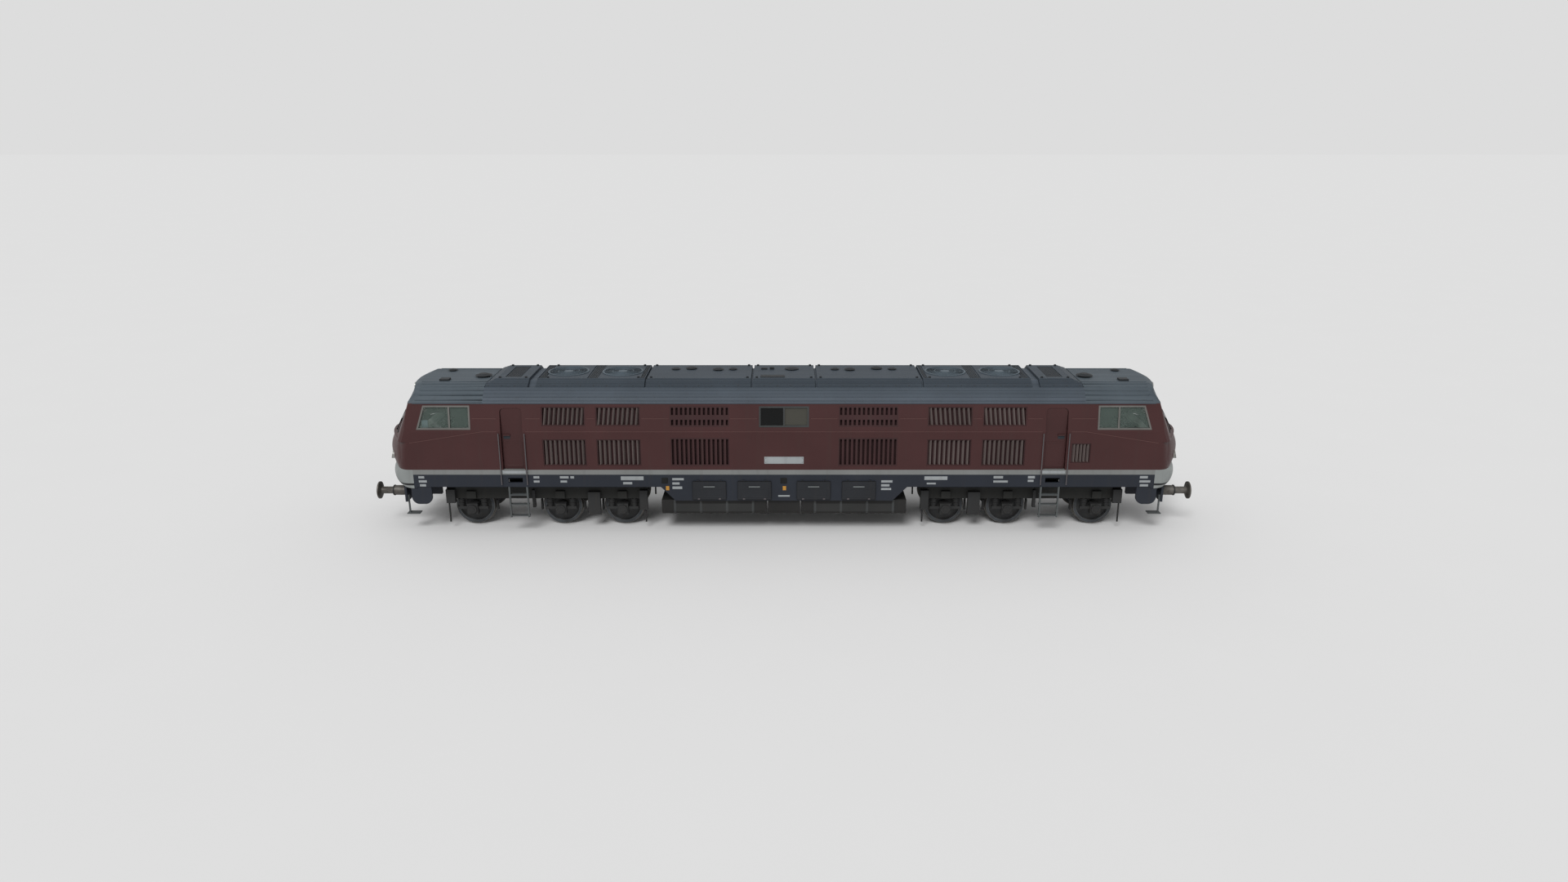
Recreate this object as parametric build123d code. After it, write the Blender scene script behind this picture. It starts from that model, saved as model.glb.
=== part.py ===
from build123d import *
import os

# Six-axle, two-cab diesel locomotive, in millimetres.
# X runs along the locomotive towards end B, the near side is -Y, Z starts under the wheel flanges.

# Body shell
LENGTH_OVER_BUFFERS = 23000.0
HALF_WIDTH = 1530.0
WALL = 70.0
FIT = 1.0
PANEL_JOINT = 0.5
SKIRT_Z = 1370.0
SKIRT_HEAD = 1700.0
SILL_Z = 1870.0
BELT_Z = 2950.0
EAVE_Z = 3740.0
EAVE_LEAN = 100.0
FLOOR_Z = 1760.0
DECK = 100.0
FAR = LENGTH_OVER_BUFFERS / 2
WALL_END = FAR - 1350.0
EAVE_HALF_WIDTH = HALF_WIDTH - EAVE_LEAN
DECK_FOOT = FLOOR_Z - DECK

# Roof shell over the cabs, with a rounded shoulder on each side
CAB_ROOF_Z = EAVE_Z + 440.0
CAB_FLAT_HALF = EAVE_HALF_WIDTH - 730.0
SHOULDER_BULGE = (EAVE_HALF_WIDTH - 240.0, EAVE_Z + 290.0)
CAB_ROOF_BACK = FAR - 3300.0
BEAD_R = 13.0
BEAD_INSET = 12.0
CAB_BEAD_COUNT = 6
CAB_BEAD_SPAN = (0.10, 0.92)
SHOULDER_BEAD_COUNT = 4
SHOULDER_BEAD_SPAN = (0.08, 0.44)

# Lift-off hatches between the shoulders, with stepped sides and cross ribs at their joints
HATCH_HALF = HALF_WIDTH - 450.0
HATCH_FOOT_Z = EAVE_Z + 270.0
HATCH_EDGE_Z = HATCH_FOOT_Z + 120.0
HATCH_Z = CAB_ROOF_Z + 110.0
HATCH_STEPS = 4
HATCH_STEP_RUN = 70.0
HATCH_STEP_LEAN = 12.0
HATCH_FLAT_HALF = HATCH_HALF - HATCH_STEPS * HATCH_STEP_RUN
ROOF_SKIN = 45.0
RIB_DROP = 75.0
RIB = 60.0
MIDDLE_HATCH_HALF = 850.0
FAN_HATCH_X = (FAR - 7670.0, FAR - 4700.0)
VALLEY = 220.0
INTAKE_HATCH_X = (FAN_HATCH_X[1] + VALLEY, CAB_ROOF_BACK - 20.0)
ENGINE_HATCH_X = (MIDDLE_HATCH_HALF + RIB, FAN_HATCH_X[0] - RIB)
INTAKE_SLOPE = 260.0
INTAKE_RECESS_X = (INTAKE_HATCH_X[0] + 260.0, INTAKE_HATCH_X[1] - 460.0)
RECESS_MARGIN = 160.0
RECESS_DEPTH = 25.0
STRIPS_X = (  # cross strips sunk into the fan hatch, start and finish
    (FAN_HATCH_X[0] + 20.0, FAN_HATCH_X[0] + 130.0),
    (FAN_HATCH_X[0] + 1290.0, FAN_HATCH_X[0] + 1600.0),
    (FAN_HATCH_X[1] - 220.0, FAN_HATCH_X[1] - 20.0),
)

# Cab front along the middle of the locomotive, measured from the buffer faces
APRON_Z = SKIRT_Z - 40.0
FRONT_LEVELS = (  # height, front along the middle, how far the sides fall back
    (APRON_Z, FAR - 560.0, 420.0),
    (SILL_Z - 270.0, FAR - 370.0, 420.0),
    (SILL_Z, FAR - 440.0, 420.0),
    (SILL_Z + 360.0, FAR - 290.0, 400.0),
    (BELT_Z - 290.0, FAR - 430.0, 220.0),
)
APRON_LEVELS = FRONT_LEVELS[:3]
BELLY_LEVELS = FRONT_LEVELS[2:]
LEDGE_Z, LEDGE_X, LEDGE_SAG = FRONT_LEVELS[-1]
LEDGE_OUT = 40.0
LEDGE_H = 60.0
FRONT_R = 430.0
SCREEN_SAG = 110.0
SCREEN_CORNER_R = 170.0
SCREEN_TOP = (FAR - 1040.0, EAVE_Z - 40.0)
VISOR = (FAR - 1120.0, EAVE_Z + 290.0)
VISOR_BULGE = (FAR - 1210.0, EAVE_Z + 385.0)
CROWN_X = FAR - 1410.0
SCREEN_POST = 80.0
SCREEN_FOOT = (HALF_WIDTH - 450.0, BELT_Z - 140.0)
SCREEN_HEAD = (HALF_WIDTH - 530.0, EAVE_Z - 180.0)
SCREEN_R = 60.0
GLASS = 12.0
GLASS_IN = 25.0
LAMP_OUT = 20.0
LAMP_DEPTH = 230.0
LENS_IN = 25.0
LENS_RIM = 18.0
LOW_LAMP = (HALF_WIDTH - 630.0, SILL_Z + 260.0, 115.0)
TOP_LAMP = (EAVE_Z + 140.0, 105.0)

# Cab doors and their hinges
DOOR_X = (FAR - 4360.0, FAR - 3760.0)
DOOR_TOP = EAVE_Z - 130.0
DOOR_R = 120.0
DOOR_FACE = HALF_WIDTH - 95.0
DOOR_THICK = 45.0
DOOR_GAP = 5.0
DOOR_FREE_GAP = 12.0
JAMB_FACE = HALF_WIDTH - 145.0
JAMB = 60.0
HINGE_IN = 35.0
HINGE_PIN_R = 10.0
HINGE_BARREL_R = 20.0
HINGE_LEAF = 80.0
HINGE_LENGTH = 100.0
HINGE_LUG = 12.0
HINGE_Z = (SILL_Z + 280.0, DOOR_TOP - 460.0)
PIN_FIT = 0.3
RUN_GAP = 0.3
HANDLE_X = (DOOR_X[1] - 240.0, DOOR_X[1] - 50.0)
HANDLE_Z = (BELT_Z - 120.0, BELT_Z - 80.0)
HANDLE_OUT = 38.0

# Side windows
CAB_WINDOW_X = (FAR - 2950.0, FAR - 1470.0)
CAB_WINDOW_Z = (BELT_Z + 70.0, EAVE_Z - 60.0)
CAB_WINDOW_RAKE = 210.0
CAB_WINDOW_POST = FAR - 2380.0
MID_WINDOW_HALF = 680.0
MID_WINDOW_Z = (BELT_Z + 140.0, EAVE_Z - 80.0)
POST_HALF = 22.0
SASH_BAR = 45.0
SASH_PROUD = 8.0
SASH_DEPTH = 60.0

# Louvres and slot panels
LOUVRE_X = ((FAR - 7580.0, FAR - 6370.0), (FAR - 6080.0, FAR - 4890.0))
LOUVRE_Z = ((BELT_Z + 170.0, EAVE_Z - 100.0), (SILL_Z + 120.0, BELT_Z - 205.0))
LOUVRE_RIM = 28.0
SLATS = 9
SLAT_THICK = 14.0
SLAT_TILT = 38.0
SLAT_IN = (14.0, 62.0)
SMALL_LOUVRE_X = (DOOR_X[1] + 135.0, DOOR_X[1] + 670.0)
SMALL_LOUVRE_Z = (SILL_Z + 200.0, SILL_Z + 760.0)
SMALL_SLATS = 5
SLOT_PITCH = 124.0
SLOT_WIDTH = 62.0
SLOT_COUNT = 13
SLOT_MIDDLE = (MID_WINDOW_HALF + LOUVRE_X[0][0]) / 2
SLOT_X = (SLOT_MIDDLE - SLOT_COUNT * SLOT_PITCH / 2, SLOT_MIDDLE + SLOT_COUNT * SLOT_PITCH / 2)
HIGH_PANEL_Z = (BELT_Z + 150.0, EAVE_Z - 80.0)
LOW_PANEL_Z = (SILL_Z + 110.0, BELT_Z - 160.0)
PANEL_RIM = 40.0
HIGH_SLOT = (150.0, 200.0)
PANEL_IN = (4.0, 34.0)
FOOT_HOLE_X = (DOOR_X[0] + 80.0, DOOR_X[1] - 120.0)
FOOT_HOLE_Z = (SKIRT_Z + 125.0, SKIRT_Z + 267.0)

# Handrails, ladders and steps
RAIL_AWAY = 55.0
RAIL_X = (DOOR_X[0] - RAIL_AWAY, DOOR_X[1] + RAIL_AWAY)
RAIL_Z = (SKIRT_Z + 75.0, BELT_Z - 30.0)
RAIL_R = 15.0
RAIL_FOOT_R = 11.0
RAIL_OUT = 45.0
LADDER_X = (DOOR_X[0] - 40.0, DOOR_X[1] - 100.0)
LADDER_FOOT = 470.0
LADDER_IN = 5.0
RUNGS_Z = (500.0, 830.0, 1115.0)
STRINGER = 45.0
TREAD_THICK = 25.0
TREAD_DEPTH = 130.0

# Bogies
PIVOT_X = FAR - 4825.0
AXLES_X = (PIVOT_X + 2125.0, PIVOT_X - 375.0, PIVOT_X - 2125.0)
WHEEL_R = 550.0
FLANGE = 28.0
AXLE_Z = WHEEL_R + FLANGE
BACK_TO_BACK = 1360.0
WHEEL_WIDTH = 135.0
HUB_R = 150.0
HUB_OUT = 25.0
RIM_R = 460.0
WEB_THICK = 30.0
FLANGE_THICK = 32.0
TREAD_FALL = 6.0
AXLE_R = 90.0
JOURNAL_R = 75.0
JOURNAL_END = 1130.0
FRAME_IN = 960.0
FRAME_OUT = 1080.0
FRAME_TOP = 1240.0
FRAME_FOOT = 870.0
FRAME_X = (PIVOT_X - 2845.0, PIVOT_X + 2825.0)
FRAME_R = 140.0
TRANSOMS_X = ((PIVOT_X + 575.0, PIVOT_X + 1175.0), (PIVOT_X - 1375.0, PIVOT_X - 1125.0))
TRANSOM_Z = (FRAME_FOOT + 30.0, FRAME_TOP - 40.0)
END_BEAM = 70.0
END_BEAM_Z = (FRAME_TOP - 240.0, FRAME_TOP - 40.0)
PIVOT_BEAM_HALF = 330.0
PIVOT_BEAM_FOOT = 950.0
PIVOT_R = 260.0
KING_PIN_R = 90.0
KING_PIN_FOOT = 1000.0
DAMPER_HALF = 130.0
DAMPER_Z = (900.0, 1110.0)
DAMPER_OUT = 90.0
BOX_HALF = 150.0
BOX_H = 320.0
BOX_Y = (975.0, 1165.0)
BOX_CAP_R = 125.0
BOX_CAP_OUT = 45.0
WING_HALF = 430.0
WING_Z = (AXLE_Z - 18.0, AXLE_Z + 62.0)
SPRING_X = 320.0
SPRING_Y = 1025.0
SPRING_R = 80.0
SPRING_CORE_R = 55.0
SPRING_COILS = 4
SPRING_WIRE_SHARE = 0.6
SHOES = ((AXLES_X[0], -1), (AXLES_X[1], 1), (AXLES_X[1], -1), (AXLES_X[2], 1))
SHOE_GAP = 10.0
SHOE_THICK = 50.0
SHOE_HALF_H = 150.0
SHOE_Y = (BACK_TO_BACK / 2 + 20.0, BACK_TO_BACK / 2 + 120.0)
HANGER = 34.0
HANGER_Z = (FRAME_TOP - 230.0, FRAME_TOP - 180.0)
HUNG_BOXES = (  # x start, x finish, foot, head, depth outwards
    (PIVOT_X - 1505.0, PIVOT_X - 1165.0, 430.0, 1100.0, 130.0),
    (PIVOT_X - 2835.0, PIVOT_X - 2615.0, 580.0, 1150.0, 140.0),
    (PIVOT_X + 2565.0, PIVOT_X + 2815.0, 780.0, 1180.0, 150.0),
    (PIVOT_X + 325.0, PIVOT_X + 405.0, 640.0, 1150.0, 110.0),
)
SAND_PIPE_R = 24.0
SAND_PIPE_X = (PIVOT_X - 2775.0, PIVOT_X + 2765.0)
SAND_PIPE_Y = FRAME_OUT + 70.0
SAND_PIPE_FOOT = 200.0

# Middle skirt with battery lockers, and the tanks under it
SKIRT_HALF = PIVOT_X - 3265.0
SKIRT_CUT = 400.0
LOCKER_FOOT = 965.0
LOCKER_DEPTH = 520.0
LID_START = 350.0
LID_MARGIN = 870.0
LID_SPACE = 310.0
LID_WIDTH = (SKIRT_HALF - LID_MARGIN - LID_START - LID_SPACE) / 2
LIDS_X = ((LID_START, LID_START + LID_WIDTH),
          (LID_START + LID_WIDTH + LID_SPACE, LID_START + 2 * LID_WIDTH + LID_SPACE))
LID_Z = (LOCKER_FOOT + 35.0, SKIRT_HEAD - 155.0)
LID_THICK = 30.0
LID_GAP = 5.0
LID_R = 25.0
LID_PIN_R = 6.0
LID_BARREL_R = 12.0
LID_KNUCKLE = 60.0
LID_KNUCKLE_IN = 157.0
LID_LUG = 10.0
LID_AXIS_Y = HALF_WIDTH + LID_GAP + LID_THICK / 2
LID_AXIS_Z = LID_Z[1] + LID_BARREL_R + DOOR_GAP
GRIP_LENGTH = 310.0
GRIP_Z = LID_Z[1] - 155.0
GRIP_OUT = 25.0
GRIP_H = 30.0
BOX_IN = HALF_WIDTH - LOCKER_DEPTH
MID_TANK_HALF = 440.0
TANK_SPLIT = 60.0
TANK_X = (MID_TANK_HALF + TANK_SPLIT, SKIRT_HALF)
TANK_FOOT = 510.0
TANK_HALF = HALF_WIDTH - 80.0
TANK_R = 160.0
TANK_PANEL_Z = (620.0, 860.0)
TANK_PANEL_INSET = 360.0
TANK_PANEL_OUT = 15.0
STRAP = 12.0
STRAPS = 4
STRAP_WIDTH = 60.0

# Underframe and headstocks
SILL_Y = (560.0, 680.0)
SILL_FOOT = FRAME_TOP + 60.0
BEARERS_X = (MID_TANK_HALF + 1060.0, PIVOT_X - 2375.0, PIVOT_X + 2625.0)
BEARER_HALF = 60.0
BOLSTER_HALF = 300.0
DECK_END = FAR - 500.0
HEADSTOCK_X = FAR - 900.0
HEADSTOCK_PLATE = 60.0
HEADSTOCK_FOOT = 860.0
HEADSTOCK_HALF = HALF_WIDTH - 200.0
CHEEK_X = (FAR - 1720.0, FAR - 1160.0)
CHEEK_Y = (HALF_WIDTH - 90.0, HALF_WIDTH - 20.0)
CHEEK_R = 200.0
CROSS_PLATE = 60.0

# Buffers, draw hooks and shunter's steps
BUFFER_Z = 1050.0
BUFFER_Y = 875.0
BUFFER_HEAD_R = 245.0
BUFFER_SHANK_R = 100.0
BUFFER_SOCKET_R = 140.0
BUFFER_SOCKET_END = HEADSTOCK_X + 460.0
BUFFER_FLANGE = 340.0
HEAD_RIM = 35.0
HEAD_CROWN = 30.0
SOCKET_COLLAR = 30.0
HOOK_X = HEADSTOCK_X + 260.0
HOOK_EYE_R = 28.0
HOOK_THICK = 60.0
HOOK_R = 110.0
HOOK_THROAT_R = 48.0
HOOK_SHANK_H = 130.0
HOOK_THROAT = (75.0, 75.0)
END_STEP_X = (HEADSTOCK_X - 370.0, HEADSTOCK_X - 10.0)
END_STEP_Z = 500.0
END_STEP_Y = HALF_WIDTH - 240.0
STEP_BAR = 40.0
STEP_DEPTH = 220.0

# Fans with their ducts and guards
FANS_X = (FAN_HATCH_X[0] + 2250.0, FAN_HATCH_X[0] + 720.0)
DUCT_R = HATCH_FLAT_HALF - 255.0
FAN_TIP_GAP = 40.0
FAN_R = DUCT_R - FAN_TIP_GAP
FAN_BLADES = 8
FAN_HUB_R = 130.0
FAN_HUB_H = 110.0
FAN_PIN_R = 40.0
FAN_FOOT = HATCH_Z - 200.0
BLADE_PITCH = 28.0
BLADE_WIDTH = 150.0
BLADE_THICK = 12.0
BLADE_ROOT = 40.0
BAR_WIDTH = 90.0
BAR_THICK = 60.0
GUARD_THICK = 20.0
GUARD_SPOKES = 8
GUARD_SPOKE = 18.0
GUARD_RIM = (15.0, 30.0)
GUARD_RING_R = DUCT_R - 245.0

# Inside: engines, bulkheads, desks and seats
ENGINE_X = (ENGINE_HATCH_X[0] - 10.0, ENGINE_HATCH_X[1] - 70.0)
ENGINE_HALF = 620.0
ENGINE_HEAD = EAVE_Z - 390.0
BULKHEAD_X = FAR - 4620.0
BULKHEAD = 50.0
DESK_X = (FAR - 1740.0, FAR - 1170.0)
DESK_HALF = HALF_WIDTH - 380.0
DESK_Z = (FLOOR_Z + 720.0, FLOOR_Z + 1000.0)
DESK_KNEE = 120.0
DESK_SLOPE = 330.0
DESK_LIP = 60.0
SEAT_X = FAR - 2350.0
SEAT_Y = HALF_WIDTH - 810.0
SEAT_POST_R = 60.0
SEAT_Z = FLOOR_Z + 400.0
SEAT_HALF = 235.0
SEAT_PAD = 100.0
SEAT_BACK = 90.0
SEAT_BACK_H = 650.0

# Caps, vents and horns standing on the roof
CAP_RIM = 0.45
CAP_STEM = 0.7
CAPS = (  # x, y, radius, foot, height
    (ENGINE_HATCH_X[0] + 540.0, 250.0, 125.0, HATCH_Z, 50.0),
    (ENGINE_HATCH_X[0] + 960.0, 200.0, 155.0, HATCH_Z, 60.0),
    (ENGINE_HATCH_X[0] + 1730.0, 350.0, 165.0, HATCH_Z, 60.0),
    (ENGINE_HATCH_X[0] + 2170.0, 270.0, 130.0, HATCH_Z, 50.0),
    (FAR - 1970.0, CAB_FLAT_HALF - 130.0, 130.0, CAB_ROOF_Z, 60.0),
    (CAB_ROOF_BACK + 260.0, -130.0, 230.0, CAB_ROOF_Z, 90.0),
)
VENT_BOXES = (  # x, y, length, width, foot, height
    (FAR - 2090.0, -CAB_FLAT_HALF + 110.0, 260.0, 220.0, CAB_ROOF_Z, 55.0),
)
MIDDLE_CAP = (220.0, 300.0, 200.0, HATCH_Z, 50.0)
MIDDLE_BOXES = (  # x, y, length, width, foot, height
    (-565.0, 300.0, 170.0, 120.0, HATCH_Z, 35.0),
    (-345.0, 300.0, 120.0, 120.0, HATCH_Z, 55.0),
    (-315.0, -600.0, 670.0, 240.0, HATCH_Z, 18.0),
)

NODES = {}
ENDS = (("a", -1), ("b", 1))
SIDES = (("right", -1), ("left", 1))


# Helpers: faces drawn in a plane and pushed out between two places
def along_x(face, x0, x1):
    return extrude(Plane.YZ.offset(x0) * face, amount=x1 - x0)


def along_y(face, y0, y1):
    return extrude(Plane.XZ.offset(-y1) * face, amount=y1 - y0)


def along_z(face, z0, z1):
    return extrude(Plane.XY.offset(z0) * face, amount=z1 - z0)


def block(x0, x1, y0, y1, z0, z1):
    size = (abs(x1 - x0), abs(y1 - y0), abs(z1 - z0))
    return Pos((x0 + x1) / 2, (y0 + y1) / 2, (z0 + z1) / 2) * Box(*size)


def rod_x(r, x0, x1, y, z):
    return Pos((x0 + x1) / 2, y, z) * Rot(0, 90, 0) * Cylinder(r, abs(x1 - x0))


def rod_y(r, y0, y1, x, z):
    return Pos(x, (y0 + y1) / 2, z) * Rot(90, 0, 0) * Cylinder(r, abs(y1 - y0))


def rod_z(r, z0, z1, x, y):
    return Pos(x, y, (z0 + z1) / 2) * Cylinder(r, z1 - z0)


def rect(a0, a1, b0, b1, r=0.0):
    face = Pos((a0 + a1) / 2, (b0 + b1) / 2) * Rectangle(abs(a1 - a0), abs(b1 - b0))
    return fillet(face.vertices(), r) if r else face


def polygon(*points):
    return make_face(Polyline(*points, close=True))


def joined(solids):
    total = solids[0]
    for solid in solids[1:]:
        total = total + solid
    return total


def to_side(solid, side):
    return solid if side < 0 else mirror(solid, about=Plane.XZ)


def to_end(solid, end):
    return solid if end > 0 else mirror(solid, about=Plane.YZ)


def at_ends(solid):
    return [solid, to_end(solid, -1)]


def placed(solid, end, side):
    if end < 0 and side > 0:
        return Rot(0, 0, 180) * solid
    return to_end(to_side(solid, side), end)


def at_corners(solid):
    return [placed(solid, end, side) for _, end in ENDS for _, side in SIDES]


def loose(solids):
    parts = []
    for solid in solids:
        parts.extend(solid.solids())
    return Compound(children=parts)


# Body section, drawn in Y and Z, the same for walls, cab fronts and roof
def shoulder_arc():
    return ThreePointArc((-EAVE_HALF_WIDTH, EAVE_Z), (-SHOULDER_BULGE[0], SHOULDER_BULGE[1]),
                         (-CAB_FLAT_HALF, CAB_ROOF_Z))


def body_section():
    right = [
        Line((-HALF_WIDTH, 0), (-HALF_WIDTH, BELT_Z)),
        Line((-HALF_WIDTH, BELT_Z), (-EAVE_HALF_WIDTH, EAVE_Z)),
        shoulder_arc(),
    ]
    left = [
        ThreePointArc((CAB_FLAT_HALF, CAB_ROOF_Z), SHOULDER_BULGE, (EAVE_HALF_WIDTH, EAVE_Z)),
        Line((EAVE_HALF_WIDTH, EAVE_Z), (HALF_WIDTH, BELT_Z)),
        Line((HALF_WIDTH, BELT_Z), (HALF_WIDTH, 0)),
    ]
    crown = Line((-CAB_FLAT_HALF, CAB_ROOF_Z), (CAB_FLAT_HALF, CAB_ROOF_Z))
    foot = Line((HALF_WIDTH, 0), (-HALF_WIDTH, 0))
    return make_face(right + [crown] + left + [foot])


def section_in(inset):
    return offset(SECTION, amount=-inset) if inset else SECTION


SECTION = body_section()
INNER_SECTION = section_in(WALL)
FRONT_BACK = CAB_ROOF_BACK - 2 * WALL


# Cab front in plan: below the ledge it is one wide curve with round corners
def bowed_plan(front_x, sag, inset):
    wide = HALF_WIDTH - inset
    x = front_x - inset
    face = make_face([
        Line((FRONT_BACK, -wide), (x - sag, -wide)),
        ThreePointArc((x - sag, -wide), (x, 0), (x - sag, wide)),
        Line((x - sag, wide), (FRONT_BACK, wide)),
        Line((FRONT_BACK, wide), (FRONT_BACK, -wide)),
    ])
    return fillet(face.vertices().sort_by(Axis.X)[-2:], FRONT_R - inset)


# Above the ledge it has two flat screens that meet at a blunt point
def screen_plan(front_x, inset):
    wide = HALF_WIDTH - inset
    x = front_x - inset
    face = polygon((FRONT_BACK, -wide), (x - SCREEN_SAG, -wide), (x, 0), (x - SCREEN_SAG, wide),
                   (FRONT_BACK, wide))
    return fillet(face.vertices().sort_by(Axis.X)[2:4], SCREEN_CORNER_R - inset)


def bowed_loft(levels, inset):
    return loft([Plane.XY.offset(z) * bowed_plan(x, sag, inset) for z, x, sag in levels])


# A plan pushed up along a rake, from one place on the middle line to another
def raked(foot, head, inset):
    face = Plane.XY.offset(foot[1]) * screen_plan(foot[0], inset)
    rise = Vector(head[0] - foot[0], 0, head[1] - foot[1])
    return extrude(face, amount=rise.length, dir=rise)


# Crown over the windscreens, seen from the side
def crown_profile(inset):
    return make_face([
        Line((FRONT_BACK, SCREEN_TOP[1]), (FAR, SCREEN_TOP[1])),
        Line((FAR, SCREEN_TOP[1]), (FAR, VISOR[1])),
        Line((FAR, VISOR[1]), (VISOR[0] - inset, VISOR[1])),
        ThreePointArc((VISOR[0] - inset, VISOR[1]), (VISOR_BULGE[0] - inset, VISOR_BULGE[1] - inset),
                      (CROWN_X - inset, CAB_ROOF_Z - inset)),
        Line((CROWN_X - inset, CAB_ROOF_Z - inset), (FRONT_BACK, CAB_ROOF_Z - inset)),
        Line((FRONT_BACK, CAB_ROOF_Z - inset), (FRONT_BACK, SCREEN_TOP[1])),
    ])


def visor(inset):
    slope = (VISOR[0] - SCREEN_TOP[0]) / (VISOR[1] - SCREEN_TOP[1])
    head = (SCREEN_TOP[0] + slope * (CAB_ROOF_Z - SCREEN_TOP[1]), CAB_ROOF_Z)
    return raked(SCREEN_TOP, head, inset) & along_y(crown_profile(inset), -HALF_WIDTH, HALF_WIDTH)


def front_envelope(inset):
    lower = bowed_loft(APRON_LEVELS, inset) + bowed_loft(BELLY_LEVELS, inset)
    upper = raked((LEDGE_X, LEDGE_Z), SCREEN_TOP, inset) + visor(inset)
    solid = (lower + upper) & along_x(section_in(inset), 0, FAR)
    return solid & block(0, FAR, -HALF_WIDTH, HALF_WIDTH, APRON_Z + inset, CAB_ROOF_Z)


# Ledge round the front under the windscreens
def ledge():
    band = along_z(bowed_plan(LEDGE_X + LEDGE_OUT, LEDGE_SAG, 0), LEDGE_Z, LEDGE_Z + LEDGE_H)
    return band & block(WALL_END, FAR, -HALF_WIDTH, HALF_WIDTH, LEDGE_Z, LEDGE_Z + LEDGE_H)


FRONT_INSIDE = front_envelope(WALL)
FRONT_FITTED = front_envelope(WALL + FIT)
FRONT_SHELL = front_envelope(0) + ledge() - FRONT_INSIDE


# Windscreens: two panes beside a middle post
def screen_face(hand):
    corners = [(SCREEN_POST, SCREEN_FOOT[1]), SCREEN_FOOT, SCREEN_HEAD, (SCREEN_POST, SCREEN_HEAD[1])]
    face = polygon(*[(hand * y, z) for y, z in corners])
    return fillet(face.vertices(), SCREEN_R)


def screen_hole(hand):
    return along_x(screen_face(hand), WALL_END, FAR)


def screen_glass():
    foot = (LEDGE_X, LEDGE_Z)
    sheet = raked(foot, SCREEN_TOP, GLASS_IN) - raked(foot, SCREEN_TOP, GLASS_IN + GLASS)
    return [sheet & screen_hole(hand) for hand in (-1, 1)]


# Front lamps, two low ones in the belly and one above the windscreens
def lamp_places():
    y, z, r = LOW_LAMP
    _, belly_x, sag = BELLY_LEVELS[1]
    low_front = belly_x - sag * (y / HALF_WIDTH) ** 2 + LAMP_OUT
    top_z, top_r = TOP_LAMP
    return [(-y, z, r, low_front), (y, z, r, low_front), (0.0, top_z, top_r, SCREEN_TOP[0])]


def lamp_bodies():
    lamps = []
    for y, z, r, front in lamp_places():
        body = rod_x(r, front - LAMP_DEPTH, front, y, z)
        lamps.append(body - rod_x(r - LENS_RIM, front - LENS_IN, front, y, z))
    return lamps


def lamp_holes():
    return joined([rod_x(r, front - LAMP_DEPTH, front, y, z) for y, z, r, front in lamp_places()])


FRONT_CUT = FRONT_SHELL - lamp_holes() - screen_hole(-1) - screen_hole(1)
NOSE = FRONT_CUT & block(WALL_END, FAR, -HALF_WIDTH, HALF_WIDTH, APRON_Z, EAVE_Z)
CROWN = FRONT_CUT & block(CAB_ROOF_BACK, FAR, -HALF_WIDTH, HALF_WIDTH, EAVE_Z, CAB_ROOF_Z)


# Long swages on the roof shoulders, as beads along the curve of the section
def shoulder_beads(x0, x1, count, span):
    beads = []
    for i in range(count):
        spot = shoulder_arc() @ (span[0] + (span[1] - span[0]) * i / (count - 1))
        bead = rod_x(BEAD_R, x0, x1, spot.X, spot.Y)
        beads.extend([bead, to_side(bead, 1)])
    return joined(beads)


# Cross ribs between the hatches, a little lower than them
def cross_rib(x0, x1):
    low = rect(-HATCH_HALF, HATCH_HALF, HATCH_FOOT_Z, HATCH_EDGE_Z - RIB_DROP)
    return along_x(hatch_face(RIB_DROP) + low, x0, x1)


def roof_frame():
    ends = (-CAB_ROOF_BACK, CAB_ROOF_BACK)
    band = along_x(SECTION, *ends) - along_x(INNER_SECTION, *ends)
    span = CAB_ROOF_BACK - BEAD_INSET
    near = block(*ends, -HALF_WIDTH, -HATCH_HALF, EAVE_Z, CAB_ROOF_Z)
    shoulder = band & near
    beads = shoulder_beads(-span, span, SHOULDER_BEAD_COUNT, SHOULDER_BEAD_SPAN)
    shoulder = shoulder + (beads & near)
    frame = [shoulder, to_side(shoulder, 1)]
    for x0, x1 in ((MIDDLE_HATCH_HALF, ENGINE_HATCH_X[0]), (ENGINE_HATCH_X[1], FAN_HATCH_X[0]),
                   (FAN_HATCH_X[1], INTAKE_HATCH_X[0])):
        frame.extend(at_ends(cross_rib(x0, x1)))
    return frame


# Lift-off roof hatches: stepped sides outside, plain slopes inside
def hatch_outline():
    rise = (HATCH_Z - HATCH_EDGE_Z) / HATCH_STEPS
    side = [(HATCH_HALF, HATCH_FOOT_Z), (HATCH_HALF, HATCH_EDGE_Z)]
    for i in range(HATCH_STEPS):
        y = HATCH_HALF - HATCH_STEP_RUN * (i + 1)
        side.append((y + HATCH_STEP_LEAN, HATCH_EDGE_Z + rise * i))
        side.append((y, HATCH_EDGE_Z + rise * (i + 1)))
    return polygon(*side, *[(-y, z) for y, z in reversed(side)])


def hatch_face(inset):
    half, flat = HATCH_HALF - inset, HATCH_FLAT_HALF - inset
    side = [(half, HATCH_FOOT_Z), (half, HATCH_EDGE_Z - inset), (flat, HATCH_Z - inset)]
    return polygon(*side, *[(-y, z) for y, z in reversed(side)])


def hatch(x0, x1):
    shell = along_x(hatch_outline(), x0, x1)
    return shell - along_x(hatch_face(ROOF_SKIN), x0 + ROOF_SKIN, x1 - ROOF_SKIN)


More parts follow.
